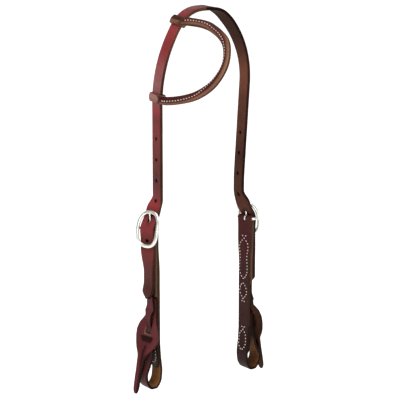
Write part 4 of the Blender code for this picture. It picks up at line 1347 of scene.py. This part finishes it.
@dataclass
class Cheek:
    """The long folded strip of one side: outer layer, fold, inner layer, bit loop, leg and head.

    Drops and widths set out its outline. The leg's course gives its depth by drop, and the free
    halves its half width by height on the flank that shows in the latch strap's slit.
    """

    side: Side
    fold_blend: float = 0.009
    fold_steps: int = 30
    outer_layer_drop: float = 0.083
    seam_inset: float = 0.006
    head_top_width: float = 0.012
    bump_drop: float = 0.100
    bump_width: float = 0.0175
    neck_drop: float = 0.105
    neck_width: float = 0.0118
    neck_low_drop: float = 0.118
    neck_low_width: float = 0.0102
    neck_end_drop: float = 0.136
    loop_start_drop: float = 0.138
    loop_width: float = 0.0207
    loop_flat: float = 0.004
    loop_bulge: float = 0.0028
    loop_top_share: float = 0.45
    loop_top_bulge: float = 0.35
    loop_wide: float = 0.78
    loop_low: float = 0.30
    loop_low_half: float = 0.40
    leg_full_width_drop: float = 0.152
    free_halves: Table = (
        (-0.0836, 0.0056), (-0.0955, 0.0058), (-0.1005, 0.0078), (-0.1030, 0.0087), (-0.1065, 0.0066),
        (-0.110, 0.0060), (-0.1195, 0.0060), (-0.1215, 0.0064), (-0.125, 0.0085), (-0.131, 0.0095),
    )
    backing_top_drop: float = 0.122
    backing_end_drop: float = 0.175
    backing_tip: float = 0.30
    backing_rim: float = 0.0006
    backing_rows: int = 48
    backing_lanes: int = 7
    leg_course: Table = (
        (0.0112, 0.168), (0.0072, 0.156), (0.0054, 0.148), (0.0045, 0.139), (0.0045, 0.132),
        (0.0056, 0.126), (0.0068, 0.119), (0.0072, 0.113), (0.0066, 0.108), (0.0056, 0.104),
    )
    spacing: float = 0.0011
    lane_count: int = 9
    rim: float = 0.0008
    slot_half: float = 0.0014
    groove: float = 0.00022
    groove_reach: float = 0.0009
    # Painted shade on the one strip: a tone for each stretch, and tones by height on the off bit loop, the near inner
    # leg and the legs.
    light_and_shade: tuple[float, ...] = (0.5, 0.5, 0.55, 0.7, 0.0)
    loop_shading: Table = ((-0.165, 0.7), (-0.175, 0.2))
    near_inner_shading: Table = ((-0.030, 0.5), (-0.060, 0.8), (-0.120, 0.9), (-0.160, 1.0))
    near_leg_shading: Table = ((-0.150, 1.0), (-0.158, 0.40), (-0.185, 0.65))
    off_leg_shading: Table = ((-0.110, 0.0), (-0.119, 0.35), (-0.128, 0.6), (-0.150, 0.45))
    raws: tuple[float, ...] = (1.0, 0.4, 0.4, 0.1, 0.0)

    def __post_init__(self) -> None:
        """Lay out the centreline and the seams."""
        self.parts = self._parts()
        self.inner = self.parts[Stretch.INNER] + self.parts[Stretch.LOOP]
        self.seams = (
            Seam("fold_seam", FRAME_HALF, self.outer_layer_drop - self.seam_inset, True),
            Seam("latch_seam", self.outer_layer_drop, STOCK.latch_leave_drop + self.seam_inset, False),
            Seam("loop_seam", self.loop_start_drop, self.backing_end_drop - self.seam_inset, True),
        )
        self.lines = [seam.flat() for seam in self.seams]

    def _parts(self) -> tuple[list[Vector], ...]:
        """The centreline in its stretches, outer layer first, as (depth, height) points."""
        top, bottom = -self.loop_start_drop, -self.side.loop_drop
        middle = self.loop_width / 2 - LAYER_DEPTH - self.loop_bulge
        wide, low = bottom + self.loop_width * self.loop_wide, bottom + self.loop_width * self.loop_low
        inner = [
            (-LAYER_DEPTH, top),
            (-LAYER_DEPTH - self.loop_bulge * self.loop_top_bulge, top + (wide - top) * self.loop_top_share),
            (middle - self.loop_width / 2, wide),
            (middle - self.loop_width * self.loop_low_half, low),
            (middle - self.loop_flat / 2, bottom),
        ]
        outer = [
            (middle + self.loop_flat / 2, bottom),
            (middle + self.loop_width * self.loop_low_half, low),
            (middle + self.loop_width / 2, wide),
        ]
        fold = [Vector((math.cos(a), math.sin(a))) * FOLD_RADIUS
                for a in (math.pi * k / self.fold_steps for k in range(self.fold_steps + 1))]
        outside = outer + [(depth, -drop) for depth, drop in self.leg_course] + [(HEAD_DEPTH, -self.bump_drop)]
        up, down, out = Vector((0, 1)), Vector((0, -1)), Vector((1, 0))
        front = (smooth([(LAYER_DEPTH, -self.outer_layer_drop), (LAYER_DEPTH, -self.fold_blend)])[:-1]
                 + smooth([(LAYER_DEPTH, -self.fold_blend), fold[0]], up, up))
        back = (smooth([fold[-1], (-LAYER_DEPTH, -self.fold_blend)], down, down)[:-1]
                + smooth([(-LAYER_DEPTH, -self.fold_blend), inner[0]]))
        leg = smooth(inner, down, out)
        rise = smooth(outside, out, up)[:-1] + smooth([outside[-1], (HEAD_DEPTH, -STOCK.head_top_drop)])
        return front, fold, back, leg, rise

    def inner_depth(self, height: float) -> float:
        """Depth of the inner leg's centreline at a height."""
        for high, low in zip(self.inner, self.inner[1:]):
            if high.y >= height >= low.y and high.y > low.y:
                share = (high.y - height) / (high.y - low.y)
                return high.x + (low.x - high.x) * share
        return -LAYER_DEPTH

    def seam_dent(self, across: float, drop: float) -> float:
        """How far stitching pulls the inner layer's surface in at a place."""
        reach = self.groove_reach
        for seam, line in zip(self.seams, self.lines):
            if seam.top - reach < drop < seam.bottom + reach:
                spot = Vector((across, drop))
                far = min((spot - p).length for p in line)
                return self.groove * smoothstep(1 - far / reach)
        return 0.0

    def build(self, finishes: Finishes) -> None:
        """Make the strip, its backing and its stitches."""
        self._strip(finishes)
        self._backing(finishes)
        for seam, line in zip(self.seams, self.lines):
            self._sew(finishes, seam, line)

    def _strip(self, finishes: Finishes) -> None:
        """The strip as one sheet, with the slot for the tongue."""
        side, sheet = self.side, Sheet()
        head: Table = (
            (-STOCK.head_top_drop, self.head_top_width), (-self.bump_drop, self.bump_width),
            (-self.neck_drop, self.neck_width), (-self.neck_low_drop, self.neck_low_width),
            (-self.neck_end_drop, self.neck_low_width), (-self.leg_full_width_drop, STOCK.strap_width))
        rows: list[tuple[Stretch, Vector]] = []
        for stretch, part in zip(Stretch, self.parts):
            fine = part if stretch is Stretch.FOLD else Path(part).evenly(self.spacing)
            rows += [(stretch, point) for point in (fine if stretch is Stretch.RISE else fine[:-1])]
        grid: list[list[int]] = []
        slot_reach = FOLD_RADIUS + STOCK.fold
        open_rows = []
        for stretch, point in rows:
            rising, inner_leg = stretch is Stretch.RISE, stretch in (Stretch.INNER, Stretch.LOOP)
            width = between(point.y, head) if rising else STOCK.strap_width
            share = 1.0
            if stretch is Stretch.FOLD:
                share = 0.0
            elif stretch in (Stretch.OUTER, Stretch.INNER) and point.y > -self.fold_blend:
                share = smoothstep(-point.y / self.fold_blend)
            thick = STOCK.fold + (STOCK.cheek - STOCK.fold) * share
            # Painted shade by stretch and by height.
            tone = self.light_and_shade[stretch]
            if stretch is Stretch.LOOP and side is OFF:
                tone = between(point.y, self.loop_shading)
            elif inner_leg and side is NEAR:
                tone = between(point.y, self.near_inner_shading)
            elif rising:
                tone = between(point.y, self.near_leg_shading if side is NEAR else self.off_leg_shading)
            slot, half = self.slot_half + self.rim, width / 2 - self.rim
            free = between(point.y, self.free_halves) - self.rim if rising else half
            rear, front = ([slot + (reach - slot) * k / self.lane_count for k in range(self.lane_count + 1)]
                           for reach in ((free, half) if side is OFF else (half, free)))
            row = []
            for across in [-a for a in reversed(rear)] + [0.0] + front:
                spot = side.place(point.x, across, point.y)
                dent = self.seam_dent(across, -point.y) if inner_leg and point.x < HEAD_DEPTH / 2 else 0.0
                row.append(sheet.add(spot, thick / 2 + ripple(spot) - dent, thick / 2 + ripple(spot, pitch=FLESH_PITCH),
                                     min(self.rim, thick / 2), tone, self.raws[stretch]))
            grid.append(row)
            open_rows.append(stretch <= Stretch.INNER and point.y > -slot_reach)
        middle = self.lane_count + 1
        sheet.fill(grid, lambda i, j: open_rows[i] and open_rows[i + 1] and j in (middle - 1, middle))
        sheet.face_towards(0, side.outwards(rows[0][1].y))
        seat(sheet.build(f"{side.name}_cheek_leather", finishes.cheek), f"{side.name}_cheek", Slot.CHEEK,
             f"{side.name}_cheek_strap")

    def _backing(self, finishes: Finishes) -> None:
        """The second layer on the outward face of the inner leg, with a rounded lower end."""
        side, sheet = self.side, Sheet()
        offset = STOCK.cheek / 2 + STOCK.gap + STOCK.backing / 2
        grid, half_width = [], STOCK.strap_width / 2
        run = self.backing_end_drop - self.backing_top_drop
        for k in range(self.backing_rows + 1):
            share = k / self.backing_rows
            drop = self.backing_top_drop + run * share
            left = min((self.backing_end_drop - drop) / half_width, 1.0)
            rounded = math.sqrt(max(0.0, 1 - (1 - left) ** 2))
            half = half_width * (self.backing_tip + (1 - self.backing_tip) * rounded) - self.backing_rim
            row = []
            for lane in range(-self.backing_lanes, self.backing_lanes + 1):
                across = half * lane / self.backing_lanes
                spot = side.place(self.inner_depth(-drop) + offset, across, -drop)
                dent = self.seam_dent(across, drop)
                row.append(sheet.add(spot, STOCK.backing / 2 - dent, STOCK.backing / 2, self.backing_rim))
            grid.append(row)
        sheet.fill(grid)
        sheet.face_towards(0, side.outwards(-self.backing_top_drop))
        seat(sheet.build(f"{side.name}_backing_leather", finishes.backing), f"{side.name}_cheek", Slot.LINING,
             f"{side.name}_loop_backing")

    def _sew(self, finishes: Finishes, seam: Seam, line: list[Vector]) -> None:
        """Stitches of one seam, on the inner face, and on the backing where the seam is the loop's."""
        side = self.side
        faces = [(-1, -STOCK.cheek / 2, "", (f"{side.name}_{seam.name}",))]
        if seam.name == "loop_seam":
            faces.append((1, STOCK.cheek / 2 + STOCK.gap + STOCK.backing, "_outer", ()))
        for sign, offset, word, nodes in faces:
            points, lifts = [], []
            for spot in line:
                depth = self.inner_depth(-spot.y) + offset
                points.append(side.place(depth, spot.x, -spot.y))
                lifts.append(side.outwards(-spot.y) * sign)
            item = Stitching().sew(f"{side.name}_{seam.name}{word}_thread", points, lifts, finishes.thread)
            seat(item, f"{side.name}_cheek", Slot.THREAD, *nodes)


# ---------------------------------------------------------------- latch strap


@dataclass
class Latch:
    """The quick-change strap: sewn at its root, its slit spread round the cheek's neck, with a tail.

    The course gives the depth of its middle by drop, and the shape its half opening and half width.
    Cants slope a flank in degrees by height, and trims, closings and curls are lengths by height.
    The free flank is the rear one on the off side and the front one on the near side.
    """

    side: Side
    slit_top: float = 0.1035
    slit_bottom: float = 0.131
    tail_start: float = 0.158
    rim: float = 0.0008
    lanes: int = 11
    spacing: float = 0.0011
    course: Table = (
        (0.0021, 0.107), (0.0036, 0.113), (0.0057, 0.119), (0.0087, 0.127), (0.0096, 0.132),
        (0.0103, 0.139), (0.0122, 0.146), (0.0158, 0.155), (0.0220, 0.178), (0.0268, 0.203),
    )
    shape: Sequence[tuple[float, float, float]] = (
        (0.087, 0.0030, 0.0095), (0.096, 0.0020, 0.0095), (0.1030, 0.0010, 0.0095),
        (0.1035, 0.0010, 0.0095), (0.1050, 0.0044, 0.0098), (0.1070, 0.0070, 0.0104),
        (0.110, 0.0070, 0.0114), (0.1135, 0.0068, 0.0128), (0.117, 0.0064, 0.0140),
        (0.121, 0.0062, 0.0149), (0.126, 0.0062, 0.0156), (0.131, 0.0068, 0.0158),
        (0.136, 0.0058, 0.0157), (0.141, 0.0054, 0.0150), (0.146, 0.0048, 0.0133),
        (0.150, 0.0042, 0.0112), (0.154, 0.0033, 0.0086), (0.158, 0.0026, 0.0067),
        (0.166, 0.0022, 0.0056), (0.176, 0.0018, 0.0047), (0.187, 0.0016, 0.0043),
        (0.197, 0.0014, 0.0039), (0.201, 0.0011, 0.0030), (0.203, 0.0007, 0.0018),
    )
    free_cants: Table = ((-0.106, 0.0), (-0.110, 8.0), (-0.114, 18.0), (-0.119, 22.0), (-0.124, 18.0),
                         (-0.130, 16.0))
    near_cants: Table = ((-0.113, 0.0), (-0.120, 7.0), (-0.127, 12.0))
    free_trims: Table = ((-0.104, 0.0), (-0.107, 0.0009), (-0.110, 0.0016), (-0.1135, 0.0021), (-0.117, 0.0019),
                         (-0.121, 0.0013), (-0.126, 0.0006), (-0.136, 0.0))
    free_closings: Table = ((-0.1215, 0.0), (-0.1240, 0.0020), (-0.126, 0.0028), (-0.1300, 0.0034), (-0.131, 0.0030))
    near_curls: Table = ((-0.118, 0.0), (-0.124, 0.0012), (-0.131, 0.0030), (-0.143, 0.0030), (-0.150, 0.0010),
                         (-0.156, 0.0))
    curl_start: float = 0.006
    curl_run: float = 0.012
    curl_gain: float = 1.3
    inner_limit: float = 0.55
    closing_from: float = 0.004
    slit_end_run: float = 0.005
    spread_window: Window = (0.108, 0.006, 0.156, 0.010)
    web_start: float = 0.0010
    web_rise: float = 0.0014
    web_length: float = 0.014
    web_fade: float = 0.45
    web_half: float = 0.0078
    web_side: float = 0.0035
    web_recess: float = 0.0013
    crease_window: Window = (0.142, 0.006, 0.184, 0.02)
    crease_half: float = 0.0024
    crease_share: float = 0.6
    roll: float = 0.0007
    lip_window: Window = (0.110, 0.004, 0.128, 0.005)
    lip_turn: float = 0.0016
    raw_lip: float = 0.8
    raw_drop: float = 0.125
    raw_reach: float = 0.008
    raw_width: float = 0.002
    # Tones of painted shade: on the free flank where it spreads, on the tail, in the web under the lip and in the
    # tail's crease.
    free_flank_shade: float = 0.30
    tail_fade: Fade = (0.150, 0.012)
    tail_free_shade: float = 0.15
    tail_near_shade: float = 0.9
    tail_middle: float = 0.002
    web_shade: float = 1.05
    crease_shade: float = 0.95
    darkest_shade: float = 1.1

    def rows(self) -> list[tuple[float, float, float, bool]]:
        """Rows from root to tip: drop, half opening, half width and whether the slit is open there."""
        found = []
        for index, (a, b) in enumerate(zip(self.shape, self.shape[1:])):
            before = self.shape[max(index - 1, 0)]
            after = self.shape[min(index + 2, len(self.shape) - 1)]
            steps = max(1, math.ceil((b[0] - a[0]) / self.spacing))
            for step in range(steps):
                t = step / steps
                drop = a[0] + (b[0] - a[0]) * t
                opening = a[1] + (b[1] - a[1]) * t
                m0 = (b[2] - before[2]) / max(b[0] - before[0], 1e-6) * (b[0] - a[0])
                m1 = (after[2] - a[2]) / max(after[0] - a[0], 1e-6) * (b[0] - a[0])
                half = hermite(t, a[2], m0, b[2], m1)
                found.append((drop, opening, half, self.slit_top <= drop <= self.slit_bottom + 1e-6))
        drop, opening, half = self.shape[-1]
        return found + [(drop, opening, half, False)]

    def _reaches(self, opening: float, half: float) -> list[float]:
        """Places across one flank, from the slit or the middle to the edge."""
        limit = half - self.rim
        inner = min(opening + self.rim, limit * self.inner_limit)
        return [inner + (limit - inner) * k / (self.lanes - 1) for k in range(self.lanes)]

    def _relief(self, drop: float, outwards: float, opening: float, half: float) -> tuple[float, float]:
        """How far the leather stands out at a place, and how much shade is painted there.

        Args:
            drop: Distance below the buckle's bar.
            outwards: Place across, positive on the free flank.
            opening: Half opening of the slit.
            half: Half width of the strap.

        Returns:
            The relief in metres and the tone of painted shade.
        """
        across = abs(outwards)
        spread = window(drop, *self.spread_window)
        flank = min(max((across - opening) / max(half - opening, 1e-6), 0.0), 1.0)
        low = (drop - self.slit_bottom) / self.web_length
        web_edge = self.web_half * math.sqrt(max(0.05, 1 - max(low, 0.0) ** 3))
        web = (ease(drop - self.slit_bottom, self.web_start, self.web_rise)
               * smoothstep((1 - low) / self.web_fade) * (1 - ease(across, web_edge, self.web_side)))
        crease = window(drop, *self.crease_window) * smoothstep(1 - across / self.crease_half)
        relief = (self.roll * math.sin(math.pi * flank) * spread * (1 - web)
                  - self.web_recess * max(web, crease * self.crease_share))
        turned = window(drop, *self.lip_window) * (outwards > 0)
        relief -= self.lip_turn * (1 - flank) ** 2 * turned
        # Painted shade: the web under the lip and the tail's crease lie darkest, one side of the tail is darker than
        # the other, and the free flank darkens where it spreads.
        tail = self.tail_near_shade * smoothstep(across / self.tail_middle)
        if outwards > 0:
            tail = self.tail_free_shade
        tone = self.free_flank_shade * spread * (outwards > 0) + ease(drop, *self.tail_fade) * tail
        return relief, min(max(tone, web * self.web_shade, crease * self.crease_shade), self.darkest_shade)

    def build(self, finishes: Finishes) -> None:
        """Lay out the sheet and make it thick."""
        side, sheet = self.side, Sheet()
        line = smooth([(LATCH_ROOT_DEPTH, STOCK.latch_root_drop), (LATCH_ROOT_DEPTH, STOCK.latch_leave_drop)]
                      + list(self.course), Vector((0, 1)))
        course = [(-point.y, point.x) for point in line]
        grid, rows = [], self.rows()
        for drop, opening, half, _ in rows:
            depth = between(-drop, course)
            free, near = (math.tan(math.radians(between(-drop, cants)))
                          for cants in (self.free_cants, self.near_cants))
            if drop > self.tail_start:
                drop = self.tail_start + (drop - self.tail_start) * side.tail_stretch
            free_half = half - between(-drop, self.free_trims)
            rear, front = ((free_half, half) if side is OFF else (half, free_half))
            shift = 0.0
            if drop >= self.slit_bottom:
                shift = self.rim * max(0.0, 1 - abs(drop - self.slit_bottom) / self.slit_end_run)
            row = []
            closed = opening - between(-drop, self.free_closings) * (opening > self.closing_from)
            openings = (closed, opening) if side is OFF else (opening, closed)
            row_places = ([-r for r in reversed(self._reaches(openings[0], rear))] + [0.0]
                          + self._reaches(openings[1], front))
            for across in row_places:
                outwards = across * side.sign
                lean = outwards * (free if outwards > 0 else near)
                if outwards < 0:
                    curl = ease(abs(across), self.curl_start, self.curl_run) * self.curl_gain
                    lean -= between(-drop, self.near_curls) * curl
                relief, tone = self._relief(drop, outwards, opening, half)
                spot = side.place(depth + lean + relief, across, -drop - shift)
                lip = abs(drop - self.raw_drop) < self.raw_reach and abs(across) < opening + self.raw_width
                raw = self.raw_lip if lip else 0.0
                row.append(sheet.add(spot, STOCK.latch / 2 + ripple(spot), STOCK.latch / 2, self.rim, tone, raw))
            grid.append(row)
        sheet.fill(grid, lambda i, j: rows[i][3] and rows[i + 1][3] and j in (self.lanes - 1, self.lanes))
        sheet.face_towards(0, side.outwards(-STOCK.latch_root_drop))
        seat(sheet.build(f"{side.name}_latch_leather", finishes.latch), f"{side.name}_cheek", Slot.LATCH,
             f"{side.name}_latch_strap")


# ---------------------------------------------------------------- ear piece


@dataclass
class Ear:
    """The ear piece: lining with its two rings, sewn-on facing and one row of stitches."""

    top_along: float = 0.035
    span_along: float = 0.094
    width: float = 0.0100
    lining: float = 0.0024
    facing: float = 0.0032
    reach: float = 0.0755
    toe_in: float = 32.0
    wall: float = 0.0026
    clearance: float = 0.0009
    trim: float = 0.0003
    inset: float = 0.0015
    skive: float = 0.009
    skived: float = 0.0010
    rim: float = 0.0008
    dome: float = 0.0016
    swell: float = 0.0007
    spacing: float = 0.0011
    lanes: int = 7
    edge_reach: float = 0.0008
    pull: float = 0.00022
    pull_reach: float = 0.0016
    thread_bite: float = 0.0002
    thread_ends: int = 3
    tangent: float = 0.0005
    corner: float = 0.0030
    corner_steps: int = 8
    ring_points: int = 72
    ring_lanes: int = 5
    ring_skim: float = 0.0003
    ring_fade: Fade = (-0.1, 0.5)
    # Tones of painted light and shade on the rings and across the domed facing: above 0 painted shade, below 0 a
    # painted highlight.
    top_ring_shading: tuple[float, float] = (1.0, 0.0)
    low_ring_highlight: tuple[float, float] = (-0.7, -0.3)
    crest_shade: float = 0.55
    inner_shade: float = 1.0
    outer_shade: float = 0.0
    inner_fade: Fade = (-0.0030, 0.0025)
    outer_fade: Fade = (0.001, 0.003)
    top_stretch: Fade = (0.22, 0.15)
    top_outer_shade: float = 0.90
    top_inner_shade: float = 0.15
    top_fade: Fade = (0.0008, 0.0025)
    raw_end: float = 0.72
    raw_run: float = 0.2
    curve_samples: int = 40
    route: Table = ((0.00, 0.20), (0.05, 0.60), (0.22, 0.91), (0.43, 1.00), (0.72, 0.92), (0.92, 0.67), (0.99, 0.33))
    seam_shifts: Table = ((0.75, 0.0), (0.67, 0.0010), (0.60, 0.0012), (0.54, 0.0020), (0.42, 0.0030), (0.34, 0.0028),
                          (0.24, 0.0))
    crown: Crown = field(default_factory=Crown)

    def at(self, length: float) -> tuple[Vector, Vector, Vector]:
        """Point, outward normal and downward direction on the off half of the crown, by length."""
        path = self._path
        ahead = (path.at(length + self.tangent) - path.at(length - self.tangent)).normalized()
        spot = path.at(length)
        down = Vector((-ahead.x, 0, ahead.y))
        return Vector((-(spot.x + OFF.out), 0, spot.y - OFF.bar_drop)), Vector((down.z, 0, -down.x)), down

    def __post_init__(self) -> None:
        """Lay out the crown's line and the ear's line on it."""
        self._path = Path(self.crown.half(OFF))
        self.stations = self._stations()

    def _stations(self) -> list[tuple[Vector, Vector, Vector]]:
        """Stations along the ear piece: point, direction along and face normal."""
        top, top_out, _ = self.at(self.top_along)
        low, low_out, _ = self.at(self.top_along + self.span_along)
        lift = STOCK.crown / 2 + self.clearance + self.wall / 2
        lean = math.radians(self.toe_in)
        reach = Vector((math.sin(lean), -math.cos(lean), 0)) * self.reach
        forward = Vector((0, -1, 0))
        inset = forward * (STOCK.strap_width / 2 - self.wall)
        exits = forward * (STOCK.strap_width / 2 + self.clearance + self.wall)
        points = [top + top_out * lift + inset, top + top_out * lift + exits]
        points += [top + (low - top) * down + reach * out for down, out in self.route[1:-1]]
        points += [low + low_out * lift + exits, low + low_out * lift + inset]
        curve = Path(smooth(points, forward, -forward, self.curve_samples)).evenly(self.spacing)
        found = []
        for index, point in enumerate(curve):
            half = smoothstep((top.z - point.z) / (top.z - low.z))
            normal = top_out * (1 - half) + low_out * half
            along = (curve[min(index + 1, len(curve) - 1)] - curve[max(index - 1, 0)]).normalized()
            found.append((point, along, (normal - along * normal.dot(along)).normalized()))
        return found

    def _crest(self, index: int, count: int, across: float) -> float:
        """Height of the facing's grain above its middle surface, with its skived ends."""
        ease = smoothstep(min(index, count - 1 - index) * self.spacing / self.skive)
        share = min(abs(across) / self.width * 2, 1.0)
        return self.facing / 2 - self.dome * share * share - (self.facing - self.skived) * (1 - ease)

    def _shade(self, share: float, across: float) -> tuple[float, float]:
        """The painted light and shade of the facing at a place, and how raw its leather is.

        Args:
            share: How far round from the upper ring, 0 to 1.
            across: Place across, positive on the ear hole's side.

        Returns:
            The tone and the raw value.
        """
        # Painted light and shade across the dome: on the top stretch its outer side lies in painted shade; further
        # round the outer flank is lit and the ear hole's side lies in painted shade.
        bend, inner = ease(share, *self.top_stretch), ease(across, *self.inner_fade)
        tone = (self.crest_shade + (self.inner_shade - self.crest_shade) * inner
                + (self.outer_shade - self.crest_shade) * ease(-across, *self.outer_fade))
        top = self.top_outer_shade + (self.top_inner_shade - self.top_outer_shade) * ease(across, *self.top_fade)
        return tone * bend + top * (1 - bend), (1 - inner) * smoothstep((self.raw_end - share) / self.raw_run)

    def _shift(self, index: int, count: int) -> float:
        """How far the stitches lie to the ear hole's side of the middle."""
        return between(1 - index / (count - 1), self.seam_shifts)

    def _lining(self) -> Sheet:
        """The flat strip that the ear line follows."""
        sheet, grid = Sheet(edge_reach=self.edge_reach), []
        half = self.width / 2 - self.trim - self.rim
        for point, along, normal in self.stations:
            across = along.cross(normal)
            spots = [point + across * half * lane / self.lanes for lane in range(-self.lanes, self.lanes + 1)]
            grid.append([sheet.add(spot, self.lining / 2, self.lining / 2, self.rim) for spot in spots])
        sheet.fill(grid)
        sheet.face_towards(0, -self.stations[0][2])
        return sheet

    def _facing(self, stations: Sequence[tuple[Vector, Vector, Vector]], offset: float) -> Sheet:
        """The domed strip over the lining, pulled in along its stitches.

        Args:
            stations: Where it runs.
            offset: How far its middle lies in front of the line.

        Returns:
            The sheet.
        """
        sheet, grid = Sheet(edge_reach=self.edge_reach), []
        half, count = self.width / 2 - self.rim, len(stations)
        for index, (point, along, normal) in enumerate(stations):
            across, shift = along.cross(normal), self._shift(index, len(stations))
            row = []
            for lane in range(-self.lanes, self.lanes + 1):
                a = half * lane / self.lanes
                spot = point + normal * offset + across * a
                pull = self.pull * smoothstep(1 - abs(a - shift) / self.pull_reach)
                row.append(sheet.add(spot, self._crest(index, count, a) - pull + ripple(spot), self.facing / 2,
                                     self.rim, *self._shade(index / count, a)))
            grid.append(row)
        sheet.fill(grid)
        sheet.face_towards(0, stations[0][2])
        return sheet

    def _ring(self, along: float, light_and_shade: tuple[float, float]) -> Sheet:
        """A band of leather round the crown strap.

        Args:
            along: Its length along the crown.
            light_and_shade: Its tone at its upper and at its lower edge.

        Returns:
            The sheet.
        """
        sheet, grid = Sheet(), []
        grow = self.clearance + self.wall / 2
        w, t = STOCK.strap_width / 2 + grow, STOCK.crown / 2 + grow
        outline = []
        for quarter in range(4):
            cx = (w - self.corner) * (1, -1, -1, 1)[quarter]
            cy = (t - self.corner) * (1, 1, -1, -1)[quarter]
            for k in range(self.corner_steps + 1):
                a = math.pi / 2 * (quarter + k / self.corner_steps)
                outline.append((cx + self.corner * math.cos(a), cy + self.corner * math.sin(a)))
        edge = Path([Vector(p) for p in outline + outline[:1]])
        for lane in range(-self.ring_lanes, self.ring_lanes + 1):
            point, outwards, _ = self.at(along + (self.width / 2 - self.rim) * lane / self.ring_lanes)
            place = lane / self.ring_lanes
            front = self.wall / 2 - self.ring_skim + self.swell * (1 - place ** 2)
            # Painted shade over the upper ring's upper half and a painted highlight over the lower ring.
            tone = light_and_shade[0] + (light_and_shade[1] - light_and_shade[0]) * ease(place, *self.ring_fade)
            row = []
            for k in range(self.ring_points):
                flat = edge.at(edge.length * k / self.ring_points)
                spot = point + Vector((0, -flat.x, 0)) + outwards * flat.y
                row.append(sheet.add(spot, front, self.wall / 2 - self.ring_skim, self.rim, tone))
            grid.append(row)
        sheet.fill(grid, closed=True)
        point, outwards, _ = self.at(along)
        top = max(range(len(sheet.faces)), key=lambda i: sum(
            ((sheet.cells[c].point - point).dot(outwards) for c in sheet.faces[i]), 0.0))
        sheet.face_towards(top, outwards)
        return sheet

    def build(self, finishes: Finishes) -> None:
        """Make the lining, the rings, the facing and the stitches."""
        seat(self._lining().build("ear_lining_leather", finishes.lining), "ear", Slot.LINING, "ear_loop")
        rings = (("ear_top_ring", self.top_along, self.top_ring_shading),
                 ("ear_low_ring", self.top_along + self.span_along, self.low_ring_highlight))
        for name, along, light_and_shade in rings:
            seat(self._ring(along, light_and_shade).build(name, finishes.ear), "ear", Slot.LINING)
        clear = STOCK.strap_width / 2 + self.clearance + self.wall + self.inset
        faced = [station for station in self.stations if -station[0].y >= clear]
        offset = self.lining / 2 + STOCK.gap + self.facing / 2
        seat(self._facing(faced, offset).build("ear_facing_leather", finishes.ear), "ear", Slot.EAR, "ear_facing")
        line = []
        for index, (point, along, normal) in enumerate(faced):
            shift = self._shift(index, len(faced))
            lift = offset + self._crest(index, len(faced), shift) - self.thread_bite
            line.append(point + normal * lift + along.cross(normal) * shift)
        thread = Stitching(pitch=0.0033, share=0.56, radius=0.00062, rise=0.0003)
        lifts, ends = [normal for _, _, normal in faced], self.thread_ends
        item = thread.sew("ear_thread", line[ends:-ends], lifts[ends:-ends], finishes.thread)
        seat(item, "ear", Slot.THREAD, "ear_seam")


# ---------------------------------------------------------------- studio


@dataclass(frozen=True)
class Lamp:
    """A soft lamp: a wide sun or a square panel that looks at the headstall."""

    name: str
    kind: LampKind
    place: tuple[float, float, float]
    size: float
    power: float


@dataclass
class Studio:
    """Floor, light and camera."""

    azimuth: float = -31.0
    elevation: float = 15.0
    distance: float = 2.5
    lens: float = 186.75
    sensor: float = 36.0
    target: tuple[float, float, float] = (-0.002, 0.0, -0.2315)
    floor_height: float = -0.75
    floor_half: float = 8.0
    backdrop: Color = (1.0, 1.0, 1.0)
    gloom: Color = (0.05, 0.05, 0.05)
    lamps: tuple[Lamp, ...] = (
        Lamp("sky_panel", LampKind.SUN, (-0.55, -0.75, 2.2), 0.9, 3.0),
        Lamp("front_panel", LampKind.PANEL, (-0.9, -2.9, 0.9), 2.6, 22.0),
        Lamp("left_panel", LampKind.PANEL, (-2.4, -0.9, 0.5), 1.0, 12.0),
        Lamp("rear_panel", LampKind.PANEL, (0.9, 2.2, 0.9), 1.2, 8.0),
    )

    def build(self) -> None:
        """Set the stage."""
        self._floor()
        self._light()
        self._camera()

    def _floor(self) -> None:
        """The pale floor below the hanging headstall."""
        half = self.floor_half
        points = [Vector((x * half, y * half, self.floor_height)) for x, y in ((-1, -1), (1, -1), (1, 1), (-1, 1))]
        make_object("studio_floor", points, [(0, 1, 2, 3)], FloorFinish().build())

    def _light(self) -> None:
        """A white backdrop, little light from all round, and the lamps."""
        scene = bpy.context.scene
        scene.view_settings.view_transform = "Standard"
        world = bpy.data.worlds.new("studio_world")
        world.use_nodes = True
        tree = world.node_tree
        choice, rays = tree.nodes.new("ShaderNodeMix"), tree.nodes.new("ShaderNodeLightPath")
        choice.data_type = "RGBA"
        choice.inputs[6].default_value = (*self.gloom, 1.0)
        choice.inputs[7].default_value = (*self.backdrop, 1.0)
        tree.links.new(rays.outputs["Is Camera Ray"], choice.inputs["Factor"])
        tree.links.new(choice.outputs[2], tree.nodes["Background"].inputs["Color"])
        scene.world = world
        for lamp in self.lamps:
            data = bpy.data.lights.new(lamp.name, lamp.kind.value)
            data.energy = lamp.power
            if lamp.kind is LampKind.SUN:
                data.angle = lamp.size
            else:
                data.size = lamp.size
            item = bpy.data.objects.new(lamp.name, data)
            item.location = lamp.place
            item.rotation_euler = (Vector(lamp.place) - Vector(self.target)).to_track_quat("Z", "Y").to_euler()
            scene.collection.objects.link(item)

    def _camera(self) -> None:
        """The camera at the photograph's viewing angle."""
        data = bpy.data.cameras.new("photo_camera")
        data.lens, data.sensor_width = self.lens, self.sensor
        camera = bpy.data.objects.new("photo_camera", data)
        a, e = math.radians(self.azimuth), math.radians(self.elevation)
        back = Vector((math.sin(a) * math.cos(e), -math.cos(a) * math.cos(e), math.sin(e)))
        camera.location = Vector(self.target) + back * self.distance
        camera.rotation_euler = back.to_track_quat("Z", "Y").to_euler()
        bpy.context.scene.collection.objects.link(camera)
        bpy.context.scene.camera = camera


def main() -> None:
    """Build every piece."""
    logging.basicConfig(level=logging.INFO, format="%(message)s")
    Studio().build()
    finishes = Finishes()
    Crown().build(finishes)
    Ear().build(finishes)
    for side in (OFF, NEAR):
        Buckle().build(side, finishes)
        Cheek(side).build(finishes)
        Latch(side).build(finishes)


if __name__ == "__main__":
    main()
